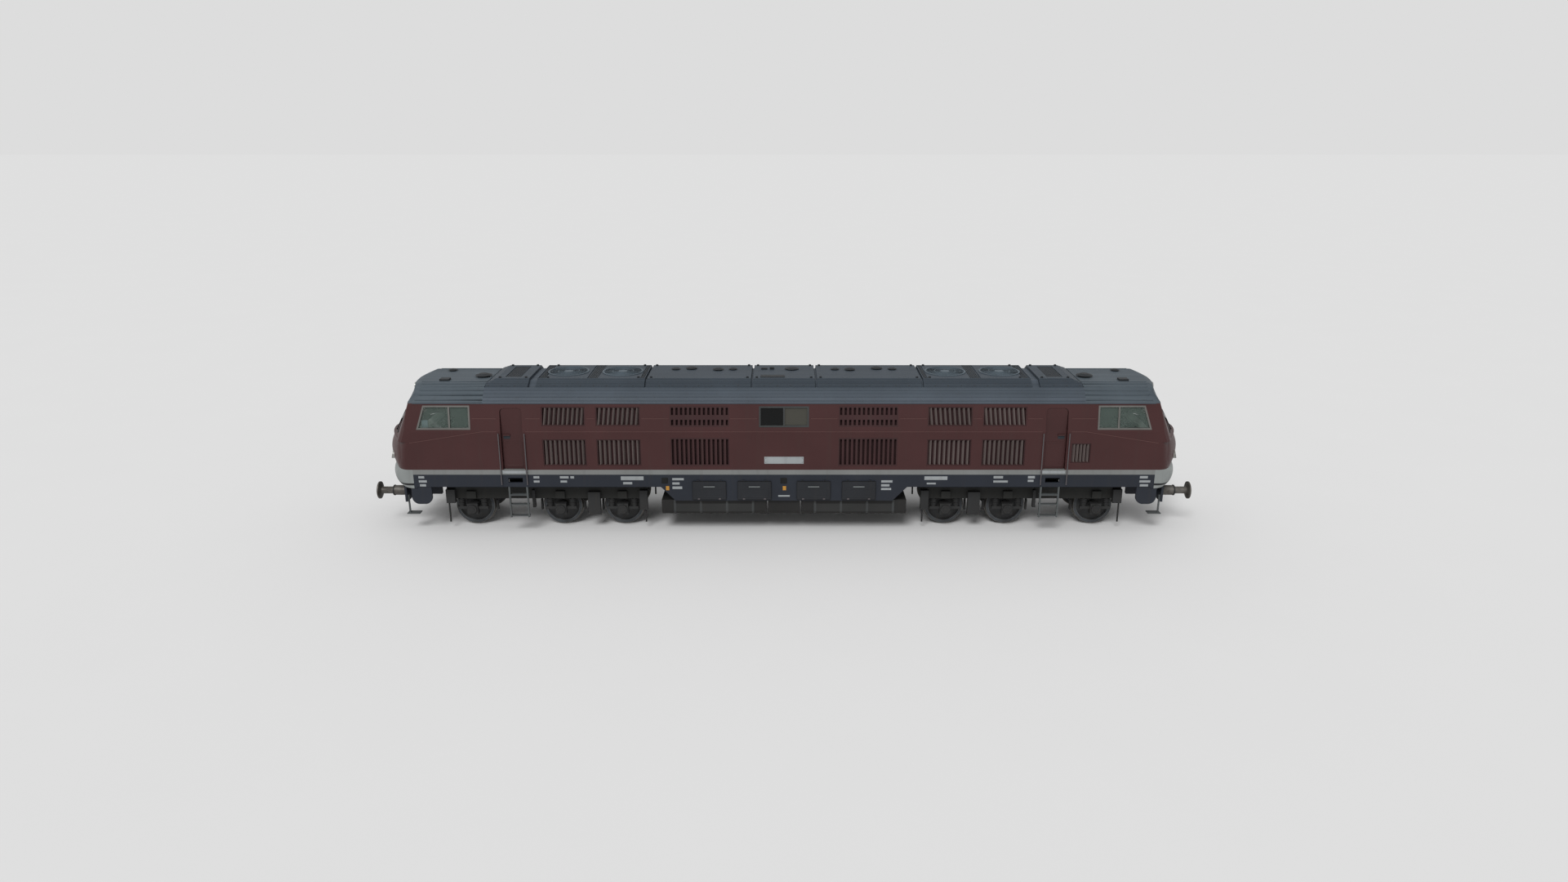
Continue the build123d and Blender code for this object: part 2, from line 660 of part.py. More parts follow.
# The intake hatch slopes down to the cab roof at its outer end
def intake_hatch():
    x0, x1 = INTAKE_HATCH_X
    slope = x1 - INTAKE_SLOPE
    outer = polygon((x0, HATCH_FOOT_Z), (x0, HATCH_Z), (slope, HATCH_Z), (x1, CAB_ROOF_Z), (x1, HATCH_FOOT_Z))
    x0, x1, slope = x0 + ROOF_SKIN, x1 - ROOF_SKIN, slope - ROOF_SKIN / 2
    inner = polygon((x0, HATCH_FOOT_Z), (x0, HATCH_Z - ROOF_SKIN), (slope, HATCH_Z - ROOF_SKIN),
                    (x1, CAB_ROOF_Z - ROOF_SKIN), (x1, HATCH_FOOT_Z))
    shell = along_x(hatch_outline(), *INTAKE_HATCH_X) & along_y(outer, -HATCH_HALF, HATCH_HALF)
    room = along_x(hatch_face(ROOF_SKIN), *INTAKE_HATCH_X) & along_y(inner, -HATCH_HALF, HATCH_HALF)
    half = HATCH_FLAT_HALF - RECESS_MARGIN
    return shell - room - block(*INTAKE_RECESS_X, -half, half, HATCH_Z - RECESS_DEPTH, HATCH_Z)


def fan_seat(x):
    bar = block(x - BAR_WIDTH / 2, x + BAR_WIDTH / 2, -HATCH_HALF + ROOF_SKIN, HATCH_HALF - ROOF_SKIN,
                FAN_FOOT - RUN_GAP - BAR_THICK, FAN_FOOT - RUN_GAP)
    return bar + rod_z(FAN_PIN_R, FAN_FOOT - RUN_GAP, FAN_FOOT + FAN_HUB_H, x, 0)


def fan_hatch():
    shape = hatch(*FAN_HATCH_X)
    for x0, x1 in STRIPS_X:
        shape = shape - block(x0, x1, -HATCH_FLAT_HALF, HATCH_FLAT_HALF, HATCH_Z - RECESS_DEPTH, HATCH_Z)
    for x in FANS_X:
        shape = shape - rod_z(DUCT_R, HATCH_Z - 2 * ROOF_SKIN, HATCH_Z, x, 0)
        shape = shape + fan_seat(x)
    return shape


cab_beads = shoulder_beads(CAB_ROOF_BACK, CROWN_X, CAB_BEAD_COUNT, CAB_BEAD_SPAN)
CAB_ROOF = CROWN + (cab_beads - FRONT_INSIDE)
NODES["roof_shoulders"] = loose(roof_frame())
HATCHES = (
    ("engine_hatch", hatch(*ENGINE_HATCH_X)),
    ("fan_hatch", fan_hatch()),
    ("intake_hatch", intake_hatch()),
)
for name, end in ENDS:
    NODES["nose_" + name] = to_end(NOSE, end)
    NODES["cab_roof_" + name] = to_end(CAB_ROOF, end)
    for node, shape in HATCHES:
        NODES[node + "_" + name] = to_end(shape, end)
NODES["middle_hatch"] = hatch(-MIDDLE_HATCH_HALF, MIDDLE_HATCH_HALF)


# Fan guards: a rim, a ring and spokes over each duct
def fan_guard(x):
    foot, head = HATCH_Z, HATCH_Z + GUARD_THICK
    rim = rod_z(DUCT_R + GUARD_RIM[1], foot, head, x, 0) - rod_z(DUCT_R - GUARD_RIM[0], foot, head, x, 0)
    ring = rod_z(GUARD_RING_R, foot, head, x, 0) - rod_z(GUARD_RING_R - GUARD_SPOKE, foot, head, x, 0)
    hub = rod_z(FAN_HUB_R, foot, head, x, 0)
    spoke = block(FAN_HUB_R - GUARD_SPOKE, DUCT_R, -GUARD_SPOKE / 2, GUARD_SPOKE / 2, foot, head)
    spokes = [Pos(x, 0, 0) * Rot(0, 0, 360 / GUARD_SPOKES * i) * spoke for i in range(GUARD_SPOKES)]
    return joined([rim, ring, hub] + spokes)


# Fan rotors: hub on its pin, tilted blades
def fan_rotor(x):
    top = FAN_FOOT + FAN_HUB_H
    hub = rod_z(FAN_HUB_R, FAN_FOOT, top, 0, 0)
    reach = FAN_R - FAN_HUB_R + BLADE_ROOT
    blade = Box(reach, BLADE_WIDTH, BLADE_THICK)
    blade = Pos(FAN_R - reach / 2, 0, (FAN_FOOT + top) / 2) * Rot(BLADE_PITCH, 0, 0) * blade
    blades = [Rot(0, 0, 360 / FAN_BLADES * i) * blade for i in range(FAN_BLADES)]
    rotor = joined([hub] + blades) - rod_z(FAN_PIN_R + PIN_FIT, FAN_FOOT, top, 0, 0)
    return Pos(x, 0, 0) * rotor


NODES["fan_guards"] = loose([fan_guard(end * x) for x in FANS_X for _, end in ENDS])
for name, end in ENDS:
    for place, x in enumerate(FANS_X, 1):
        NODES["fan_%s%d" % (name, place)] = fan_rotor(end * x)


# Layers of the wall, measured inwards from its outer face
def wall_layer(out, into, x0, x1):
    outer = offset(SECTION, amount=-out) if out else SECTION
    band = along_x(outer, x0, x1) - along_x(section_in(into), x0, x1)
    return band & block(x0, x1, -2 * HALF_WIDTH, -EAVE_HALF_WIDTH + 4 * WALL, SKIRT_Z, EAVE_Z)


def through_wall(face):
    return along_y(face, -2 * HALF_WIDTH, -EAVE_HALF_WIDTH + 4 * WALL)


def wall_middle(z0, z1):
    lean = max(0.0, (z0 + z1) / 2 - BELT_Z) * EAVE_LEAN / (EAVE_Z - BELT_Z)
    return HALF_WIDTH - lean - WALL / 2


# Outlines of the side openings, drawn in X and Z for end B
def cab_window_face(inset):
    (x0, x1), (z0, z1) = CAB_WINDOW_X, CAB_WINDOW_Z
    face = polygon((x0, z0), (x1, z0), (x1 - CAB_WINDOW_RAKE, z1), (x0, z1))
    return offset(face, amount=-inset, kind=Kind.INTERSECTION) if inset else face


def mid_window_face(inset):
    half = MID_WINDOW_HALF - inset
    return rect(-half, half, MID_WINDOW_Z[0] + inset, MID_WINDOW_Z[1] - inset)


def door_face(gap, free_gap, foot_gap):
    face = rect(DOOR_X[0] + gap, DOOR_X[1] - free_gap, SILL_Z + foot_gap, DOOR_TOP - foot_gap)
    return fillet(face.vertices().sort_by(Axis.Y)[-2:], DOOR_R)


LOUVRE_RECTS = [(*xs, *zs) for xs in LOUVRE_X for zs in LOUVRE_Z]
SMALL_RECT = (*SMALL_LOUVRE_X, *SMALL_LOUVRE_Z)
PANEL_RECTS = [(*SLOT_X, *HIGH_PANEL_Z), (*SLOT_X, *LOW_PANEL_Z)]
HINGE_AT = (DOOR_X[0] + DOOR_GAP, -(DOOR_FACE - DOOR_THICK - HINGE_IN))


# Side wall on the near side; the far one is the same wall turned round
def hinge_pins():
    hx, hy = HINGE_AT
    pins = []
    for z in HINGE_Z:
        foot, head = z - HINGE_LENGTH / 2 - HINGE_LUG, z + HINGE_LENGTH / 2 + HINGE_LUG
        pins.append(rod_z(HINGE_PIN_R, foot, head, hx, hy))
        for low in (foot, head - HINGE_LUG):
            lug = block(hx - JAMB, hx + HINGE_LUG, -JAMB_FACE - DOOR_GAP, hy + HINGE_LUG,
                        low, low + HINGE_LUG)
            pins.append(lug - block(hx - DOOR_GAP, hx + JAMB, -HALF_WIDTH, -JAMB_FACE, low, low + HINGE_LUG))
    return joined(pins)


def side_wall():
    wall = wall_layer(0, WALL, -WALL_END, WALL_END)
    inside = along_x(SECTION, -WALL_END, WALL_END)
    jamb = block(DOOR_X[0] - JAMB, DOOR_X[1] + JAMB, -HALF_WIDTH, -JAMB_FACE, SILL_Z - JAMB, DOOR_TOP + JAMB)
    for _, end in ENDS:
        wall = wall + to_end(jamb & inside, end)
        wall = wall - to_end(through_wall(door_face(0, 0, 0)), end)
        wall = wall - to_end(through_wall(cab_window_face(0)), end)
        wall = wall - to_end(through_wall(rect(*FOOT_HOLE_X, *FOOT_HOLE_Z)), end)
        for spot in LOUVRE_RECTS + PANEL_RECTS:
            wall = wall - to_end(through_wall(rect(*spot)), end)
    wall = wall - through_wall(rect(*SMALL_RECT))
    wall = wall - through_wall(mid_window_face(0))
    return wall - block(-SKIRT_HALF, SKIRT_HALF, -HALF_WIDTH, -HALF_WIDTH + WALL, SKIRT_Z, SKIRT_HEAD)


# The wall comes in panels, jointed along the belt and at the door edges
def wall_panels(wall):
    wall = wall - block(-WALL_END, WALL_END, -HALF_WIDTH, 0, BELT_Z - PANEL_JOINT, BELT_Z)
    for _, end in ENDS:
        for x0, x1 in ((DOOR_X[0] - PANEL_JOINT, DOOR_X[0]), (DOOR_X[1], DOOR_X[1] + PANEL_JOINT)):
            wall = wall - to_end(block(x0, x1, -HALF_WIDTH, 0, SKIRT_Z, EAVE_Z), end)
    for _, end in ENDS:
        wall = wall + to_end(hinge_pins(), end)
    return wall.solids()


PANELS = wall_panels(side_wall())
NODES["side_wall_right"] = loose(PANELS)
NODES["side_wall_left"] = loose([Rot(0, 0, 180) * panel for panel in PANELS])


# Louvres with tilted upright slats
def louvre(x0, x1, z0, z1, slats):
    ring = wall_layer(*SLAT_IN, x0, x1) & through_wall(
        rect(x0, x1, z0, z1) - rect(x0 + LOUVRE_RIM, x1 - LOUVRE_RIM, z0 + LOUVRE_RIM, z1 - LOUVRE_RIM))
    pitch = (x1 - x0 - 2 * LOUVRE_RIM) / slats
    blades = []
    for i in range(slats):
        x = x0 + LOUVRE_RIM + pitch * (i + 0.5)
        blade = Box(SLAT_THICK, 3 * WALL, z1 - z0 - LOUVRE_RIM)
        blades.append(Pos(x, -wall_middle(z0, z1), (z0 + z1) / 2) * Rot(0, 0, SLAT_TILT) * blade)
    return ring + (joined(blades) & wall_layer(*SLAT_IN, x0, x1))


# Pressed panels with rows of upright slots
def slot_panel(x0, x1, foot, head, rows):
    plate = wall_layer(*PANEL_IN, x0, x1) & through_wall(rect(x0, x1, foot, head))
    for low, high in rows:
        for i in range(SLOT_COUNT):
            x = x0 + SLOT_PITCH * (i + 0.5)
            plate = plate - through_wall(rect(x - SLOT_WIDTH / 2, x + SLOT_WIDTH / 2, low, high))
    return plate


high_rows = ((HIGH_PANEL_Z[0] + PANEL_RIM, HIGH_PANEL_Z[0] + PANEL_RIM + HIGH_SLOT[0]),
             (HIGH_PANEL_Z[1] - PANEL_RIM - HIGH_SLOT[1], HIGH_PANEL_Z[1] - PANEL_RIM))
low_rows = ((LOW_PANEL_Z[0] + PANEL_RIM, LOW_PANEL_Z[1] - PANEL_RIM),)
vents = []
for rect_sizes in LOUVRE_RECTS:
    vents.extend(at_ends(louvre(*rect_sizes, SLATS)))
for rect_sizes, rows in zip(PANEL_RECTS, (high_rows, low_rows)):
    vents.extend(at_ends(slot_panel(*rect_sizes, rows)))
vents.append(louvre(*SMALL_RECT, SMALL_SLATS))
NODES["louvres_right"] = loose(vents)
NODES["louvres_left"] = loose([Rot(0, 0, 180) * vent for vent in vents])


# Window frames and glass
def framed(face, inner, post_x, x0, x1, z0, z1):
    ring = through_wall(face - inner)
    post = through_wall(rect(post_x - POST_HALF, post_x + POST_HALF, z0, z1) & face)
    frame = (ring + post) & wall_layer(-SASH_PROUD, SASH_DEPTH, x0, x1)
    panes = wall_layer(GLASS_IN, GLASS_IN + GLASS, x0, x1) & through_wall(inner)
    return frame, panes - post


cab_frame, cab_panes = framed(cab_window_face(0), cab_window_face(SASH_BAR), CAB_WINDOW_POST,
                              *CAB_WINDOW_X, *CAB_WINDOW_Z)
mid_frame, mid_panes = framed(mid_window_face(0), mid_window_face(SASH_BAR), 0.0,
                              -MID_WINDOW_HALF, MID_WINDOW_HALF, *MID_WINDOW_Z)
screens = [to_end(pane, end) for pane in screen_glass() for _, end in ENDS]
NODES["window_frames"] = loose(at_corners(cab_frame) + [mid_frame, to_side(mid_frame, 1)])
NODES["glazing"] = loose(at_corners(cab_panes) + [mid_panes, to_side(mid_panes, 1)] + screens)
NODES["lamps"] = loose([to_end(lamp, end) for lamp in lamp_bodies() for _, end in ENDS])


# Cab doors, hinged on their inner edge and opening into the cab
def cab_door():
    panel = along_y(door_face(DOOR_GAP, DOOR_FREE_GAP, DOOR_GAP), -DOOR_FACE, -DOOR_FACE + DOOR_THICK)
    panel = panel + block(*HANDLE_X, -DOOR_FACE - HANDLE_OUT, -DOOR_FACE, *HANDLE_Z)
    hx, hy = HINGE_AT
    for z in HINGE_Z:
        foot, head = z - HINGE_LENGTH / 2 + RUN_GAP, z + HINGE_LENGTH / 2 - RUN_GAP
        leaf = block(hx, hx + HINGE_LEAF, -DOOR_FACE + DOOR_THICK, hy, foot, head)
        barrel = rod_z(HINGE_BARREL_R, foot, head, hx, hy) + leaf
        panel = panel + (barrel - rod_z(HINGE_PIN_R + PIN_FIT, foot, head, hx, hy))
    return panel


DOOR = cab_door()
for name, end in ENDS:
    for side_name, side in SIDES:
        NODES["cab_door_%s_%s" % (name, side_name)] = placed(DOOR, end, side)


# Handrails beside the doors, ladders under them
def handrail(x):
    y = -HALF_WIDTH - RAIL_OUT
    bar = rod_z(RAIL_R, RAIL_Z[0], RAIL_Z[1], x, y)
    for z in (RAIL_Z[0] + 2 * RAIL_R, RAIL_Z[1] - 2 * RAIL_R):
        bar = bar + rod_y(RAIL_FOOT_R, y, -HALF_WIDTH, x, z)
    return bar


def ladder():
    out, into = -HALF_WIDTH + LADDER_IN, -HALF_WIDTH + WALL - LADDER_IN
    x0, x1 = LADDER_X
    rails = [block(x0, x0 + STRINGER, out, into, LADDER_FOOT, SKIRT_Z),
             block(x1 - STRINGER, x1, out, into, LADDER_FOOT, SKIRT_Z)]
    treads = [block(x0, x1, out, out + TREAD_DEPTH, z, z + TREAD_THICK) for z in RUNGS_Z]
    return joined(rails + treads)


NODES["handrails"] = loose([bar for x in RAIL_X for bar in at_corners(handrail(x))])
NODES["ladders"] = loose(at_corners(ladder()))


# Middle skirt: an outer panel with the battery box behind it, and top-hinged locker lids
def skirt():
    foot_x = SKIRT_HALF - SKIRT_CUT
    face = polygon((-SKIRT_HALF, SKIRT_HEAD), (SKIRT_HALF, SKIRT_HEAD), (SKIRT_HALF, SKIRT_Z),
                   (foot_x, LOCKER_FOOT), (-foot_x, LOCKER_FOOT), (-SKIRT_HALF, SKIRT_Z))
    body = along_y(face, -HALF_WIDTH, -HALF_WIDTH + WALL)
    body = body + block(-foot_x, foot_x, -HALF_WIDTH + WALL, -BOX_IN, LOCKER_FOOT, DECK_FOOT)
    reach = (LID_KNUCKLE / 2, LID_KNUCKLE / 2 + LID_LUG)
    for x0, x1 in LIDS_X:
        for x in (x0 + LID_KNUCKLE_IN, x1 - LID_KNUCKLE_IN):
            hinge = rod_x(LID_PIN_R, x - reach[1], x + reach[1], -LID_AXIS_Y, LID_AXIS_Z)
            for near, far in ((x - reach[1], x - reach[0]), (x + reach[0], x + reach[1])):
                hinge = hinge + block(near, far, -LID_AXIS_Y - LID_BARREL_R, -HALF_WIDTH,
                                      LID_AXIS_Z - LID_BARREL_R, LID_AXIS_Z + LID_BARREL_R)
            body = body + hinge + to_end(hinge, -1)
    return body


def locker_lid(x0, x1):
    face_y = -HALF_WIDTH - LID_GAP - LID_THICK
    lid = along_y(rect(x0, x1, *LID_Z, LID_R), face_y, -HALF_WIDTH - LID_GAP)
    grip_x = (x0 + x1) / 2
    lid = lid + block(grip_x - GRIP_LENGTH / 2, grip_x + GRIP_LENGTH / 2, face_y - GRIP_OUT, face_y,
                      GRIP_Z - GRIP_H / 2, GRIP_Z + GRIP_H / 2)
    half = LID_KNUCKLE / 2 - RUN_GAP
    for x in (x0 + LID_KNUCKLE_IN, x1 - LID_KNUCKLE_IN):
        barrel = rod_x(LID_BARREL_R, x - half, x + half, -LID_AXIS_Y, LID_AXIS_Z)
        barrel = barrel + block(x - half, x + half, -LID_AXIS_Y - LID_PIN_R, -LID_AXIS_Y + LID_PIN_R,
                                LID_Z[1] - LID_GAP, LID_AXIS_Z)
        lid = lid + (barrel - rod_x(LID_PIN_R + PIN_FIT, x - half, x + half, -LID_AXIS_Y, LID_AXIS_Z))
    return lid


SKIRT = skirt()
ALL_LIDS_X = [(-x1, -x0) for x0, x1 in reversed(LIDS_X)] + list(LIDS_X)
for side_name, side in SIDES:
    NODES["skirt_" + side_name] = to_side(SKIRT, side)
    for place, (x0, x1) in enumerate(ALL_LIDS_X, 1):
        NODES["locker_lid_%s_%d" % (side_name, place)] = to_side(locker_lid(x0, x1), side)


# Tanks across the locomotive, held by straps
def tank(x0, x1, straps, panel):
    face = rect(-TANK_HALF, TANK_HALF, TANK_FOOT, LOCKER_FOOT)
    face = fillet(face.vertices().sort_by(Axis.Y)[:2], TANK_R)
    body = along_x(face, x0, x1)
    for i in range(straps):
        x = x0 + (x1 - x0) * (i + 0.5) / straps
        band = along_x(offset(face, amount=STRAP), x - STRAP_WIDTH / 2, x + STRAP_WIDTH / 2)
        body = body + (band & block(x0, x1, -HALF_WIDTH, HALF_WIDTH, 0, LOCKER_FOOT))
    if panel:
        for side in (-1, 1):
            y = side * TANK_HALF
            body = body + block(x0 + TANK_PANEL_INSET, x1 - TANK_PANEL_INSET, y, y + side * TANK_PANEL_OUT,
                                *TANK_PANEL_Z)
    return body


NODES["tanks"] = loose(at_ends(tank(*TANK_X, STRAPS, True)) + [tank(-MID_TANK_HALF, MID_TANK_HALF, 0, False)])


# Underframe: deck, sills, bolsters with pivot pins, and the headstocks at both ends
def headstock():
    back = HEADSTOCK_X - HEADSTOCK_PLATE
    solids = [block(back, HEADSTOCK_X, -HEADSTOCK_HALF, HEADSTOCK_HALF, HEADSTOCK_FOOT, APRON_Z)]
    x0, x1 = CHEEK_X
    cheek = polygon((x0, SKIRT_Z), (x0, HEADSTOCK_FOOT), (x1, HEADSTOCK_FOOT), (x1, APRON_Z),
                    (WALL_END, APRON_Z), (WALL_END, SKIRT_Z))
    cheek = fillet(cheek.vertices().sort_by(Axis.Y)[:2], CHEEK_R)
    solids.append(block(x1 - CROSS_PLATE, x1, -CHEEK_Y[1], CHEEK_Y[1], HEADSTOCK_FOOT + CHEEK_R, APRON_Z))
    for low, high in ((-CHEEK_Y[1], -CHEEK_Y[0]), (CHEEK_Y[0], CHEEK_Y[1])):
        solids.append(along_y(cheek, low, high))
    for low, high in ((-SILL_Y[1], -SILL_Y[0]), (SILL_Y[0], SILL_Y[1])):
        solids.append(block(x0, back, low, high, HEADSTOCK_FOOT, APRON_Z))
    return joined(solids)


def underframe():
    deck_half = HALF_WIDTH - WALL
    frame = block(-WALL_END, WALL_END, -deck_half, deck_half, DECK_FOOT, FLOOR_Z)
    nose_deck = FRONT_FITTED & block(WALL_END, DECK_END, -deck_half, deck_half, DECK_FOOT, FLOOR_Z)
    for low, high in ((-SILL_Y[1], -SILL_Y[0]), (SILL_Y[0], SILL_Y[1])):
        frame = frame + block(-WALL_END, WALL_END, low, high, SILL_FOOT, DECK_FOOT)
    for _, end in ENDS:
        frame = frame + to_end(nose_deck, end)
        for x in BEARERS_X:
            frame = frame + block(end * x - BEARER_HALF, end * x + BEARER_HALF, -BOX_IN, BOX_IN,
                                  SILL_FOOT, DECK_FOOT)
        pivot = end * PIVOT_X
        frame = frame + block(pivot - BOLSTER_HALF, pivot + BOLSTER_HALF, -BOX_IN, BOX_IN,
                              SILL_FOOT, DECK_FOOT)
        frame = frame + rod_z(PIVOT_R, FRAME_TOP + RUN_GAP, SILL_FOOT, pivot, 0)
        frame = frame + rod_z(KING_PIN_R, KING_PIN_FOOT, SILL_FOOT, pivot, 0)
        frame = frame + to_end(headstock(), end)
    return frame


NODES["underframe"] = underframe()


# Buffers: flange, socket, shank and dished head, turned about their own axis
def buffer():
    rim_x = FAR - HEAD_CROWN
    profile = make_face(Polyline(
        (HEADSTOCK_X, 0), (HEADSTOCK_X, BUFFER_SOCKET_R), (BUFFER_SOCKET_END, BUFFER_SOCKET_R),
        (BUFFER_SOCKET_END, BUFFER_SHANK_R), (rim_x - 2 * HEAD_RIM, BUFFER_SHANK_R),
        (rim_x - HEAD_RIM, BUFFER_HEAD_R), (rim_x, BUFFER_HEAD_R), (FAR, BUFFER_HEAD_R / 2),
        (FAR, 0), close=True))
    turned = Pos(0, -BUFFER_Y, BUFFER_Z) * revolve(profile, Axis.X)
    half = BUFFER_FLANGE / 2
    return turned + block(HEADSTOCK_X, HEADSTOCK_X + SOCKET_COLLAR, -BUFFER_Y - half, -BUFFER_Y + half,
                          BUFFER_Z - half, BUFFER_Z + half)


# Draw hooks: a shank with an eye for the coupling and an open hook above it
def draw_hook():
    shank = rect(HEADSTOCK_X, HOOK_X, BUFFER_Z - HOOK_SHANK_H / 2, BUFFER_Z + HOOK_SHANK_H / 2)
    tip = (HOOK_X + HOOK_THROAT[0], BUFFER_Z + HOOK_THROAT[1])
    hook = shank + Pos(*tip) * Circle(HOOK_R) + Pos(HOOK_X, BUFFER_Z) * Circle(HOOK_SHANK_H / 2)
    hook = hook - Pos(*tip) * Circle(HOOK_THROAT_R)
    hook = hook - rect(tip[0] - HOOK_THROAT_R, tip[0] + HOOK_THROAT_R / 2, tip[1], tip[1] + 2 * HOOK_R)
    hook = hook - Pos(HOOK_X - HOOK_SHANK_H / 2, BUFFER_Z) * Circle(HOOK_EYE_R)
    return along_y(hook, -HOOK_THICK / 2, HOOK_THICK / 2)


# Shunter's steps under the headstock corners
def end_step():
    y0, y1 = -END_STEP_Y - STEP_DEPTH / 4, -END_STEP_Y + 3 * STEP_DEPTH / 4
    back = HEADSTOCK_X - HEADSTOCK_PLATE
    tread = block(*END_STEP_X, y0, y1, END_STEP_Z, END_STEP_Z + TREAD_THICK)
    hanger = block(back - STEP_BAR, back, -END_STEP_Y, -END_STEP_Y + STEP_BAR, END_STEP_Z, BUFFER_Z)
    return tread + hanger


NODES["buffers"] = loose(at_corners(buffer()))
NODES["draw_hooks"] = loose(at_ends(draw_hook()))
NODES["end_steps"] = loose(at_corners(end_step()))


# Bogie frames: two outside frames tied by transoms, end beams and a middle beam with the pivot
def bogie_frame():
    profile = rect(*FRAME_X, FRAME_FOOT, FRAME_TOP)
    profile = fillet(profile.vertices().sort_by(Axis.Y)[:2], FRAME_R)
    solids = []
    for low, high, face in ((-FRAME_OUT, -FRAME_IN, -1), (FRAME_IN, FRAME_OUT, 1)):
        solids.append(along_y(profile, low, high))
        for x in AXLES_X:
            solids.append(block(x - DAMPER_HALF, x + DAMPER_HALF, face * FRAME_OUT,
                                face * (FRAME_OUT + DAMPER_OUT), *DAMPER_Z))
    solids.extend(block(x0, x1, -FRAME_IN, FRAME_IN, *TRANSOM_Z) for x0, x1 in TRANSOMS_X)
    for x0, x1 in ((FRAME_X[0], FRAME_X[0] + END_BEAM), (FRAME_X[1] - END_BEAM, FRAME_X[1])):
        solids.append(block(x0, x1, -FRAME_IN, FRAME_IN, *END_BEAM_Z))
    solids.append(block(TRANSOMS_X[1][0], TRANSOMS_X[0][1], -PIVOT_BEAM_HALF, PIVOT_BEAM_HALF,
                        PIVOT_BEAM_FOOT, FRAME_TOP))
    return joined(solids) - rod_z(KING_PIN_R + PIN_FIT, 0, FRAME_TOP, PIVOT_X, 0)


# Running gear on each bogie: axleboxes on coil springs, brake shoes, sand boxes and hung boxes
def axlebox(x):
    body = block(x - BOX_HALF, x + BOX_HALF, -BOX_Y[1], -BOX_Y[0], AXLE_Z - BOX_H / 2, AXLE_Z + BOX_H / 2)
    body = body + block(x - WING_HALF, x + WING_HALF, -SPRING_Y - SPRING_R, -BOX_Y[0], *WING_Z)
    body = body + rod_y(BOX_CAP_R, -BOX_Y[1] - BOX_CAP_OUT, -BOX_Y[1], x, AXLE_Z)
    pitch = (FRAME_FOOT - WING_Z[1]) / SPRING_COILS
    for spring_x in (x - SPRING_X, x + SPRING_X):
        body = body + rod_z(SPRING_CORE_R, WING_Z[1], FRAME_FOOT, spring_x, -SPRING_Y)
        for i in range(SPRING_COILS):
            foot = WING_Z[1] + pitch * i
            body = body + rod_z(SPRING_R, foot, foot + pitch * SPRING_WIRE_SHARE, spring_x, -SPRING_Y)
    return body - rod_y(JOURNAL_R + PIN_FIT, -JOURNAL_END - PIN_FIT, 0, x, AXLE_Z)


def brake_shoe(x, hand):
    tyre = WHEEL_R + FLANGE + SHOE_GAP
    near, far = sorted((x + hand * tyre, x + hand * (tyre + SHOE_THICK)))
    shoe = block(near, far, -SHOE_Y[1], -SHOE_Y[0], AXLE_Z - SHOE_HALF_H, AXLE_Z + SHOE_HALF_H)
    middle = (SHOE_Y[0] + SHOE_Y[1]) / 2
    hanger = block(near, far, -middle - HANGER / 2, -middle + HANGER / 2, AXLE_Z, HANGER_Z[1])
    return shoe + hanger + block(near, far, -FRAME_IN, -middle, *HANGER_Z)


def running_gear():
    near = [axlebox(x) for x in AXLES_X] + [brake_shoe(x, hand) for x, hand in SHOES]
    for x0, x1, foot, head, depth in HUNG_BOXES:
        hung = block(x0, x1, -FRAME_OUT - depth, -FRAME_OUT, foot, head)
        for x in SAND_PIPE_X:
            if x0 < x < x1:
                hung = hung + rod_z(SAND_PIPE_R, SAND_PIPE_FOOT, foot, x, -SAND_PIPE_Y)
        near.append(hung)
    return near + [to_side(solid, 1) for solid in near]


# Wheelsets: axle, two flanged wheels and journals, turned about the axle
def wheelset(x):
    back = BACK_TO_BACK / 2
    face = back + WHEEL_WIDTH
    web = back + WHEEL_WIDTH / 2
    half = make_face(Polyline(
        (0, 0), (AXLE_R, 0), (AXLE_R, back), (HUB_R, back), (RIM_R, web - WEB_THICK), (RIM_R, back),
        (WHEEL_R + FLANGE, back + FLANGE_THICK / 4), (WHEEL_R + FLANGE, back + FLANGE_THICK / 2),
        (WHEEL_R, back + FLANGE_THICK), (WHEEL_R - TREAD_FALL, face), (RIM_R, face), (RIM_R, web),
        (HUB_R, web + WEB_THICK), (HUB_R, face + HUB_OUT), (JOURNAL_R, face + HUB_OUT),
        (JOURNAL_R, JOURNAL_END), (0, JOURNAL_END), close=True))
    turned = revolve(half, Axis.Y)
    return Pos(x, 0, AXLE_Z) * (turned + mirror(turned, about=Plane.XZ))


BOGIE_FRAME = bogie_frame()
GEAR = running_gear()
for name, end in ENDS:
    NODES["bogie_frame_" + name] = to_end(BOGIE_FRAME, end)
    NODES["running_gear_" + name] = loose([to_end(solid, end) for solid in GEAR])
    for place, x in enumerate(AXLES_X, 1):
        NODES["wheelset_%s%d" % (name, place)] = wheelset(end * x)


# Inside: engines, bulkheads, driver's desks and seats
def bulkhead():
    slab = block(BULKHEAD_X, BULKHEAD_X + BULKHEAD, -HALF_WIDTH, HALF_WIDTH, FLOOR_Z, HATCH_FOOT_Z)
    return slab & along_x(section_in(WALL + FIT), BULKHEAD_X, BULKHEAD_X + BULKHEAD)


def desk():
    face = polygon((DESK_X[0] + DESK_KNEE, FLOOR_Z), (DESK_X[1], FLOOR_Z), (DESK_X[1], DESK_Z[1]),
                   (DESK_X[0] + DESK_SLOPE, DESK_Z[1]), (DESK_X[0], DESK_Z[0]),
                   (DESK_X[0], DESK_Z[0] - DESK_LIP))
    return along_y(face, -DESK_HALF, DESK_HALF)


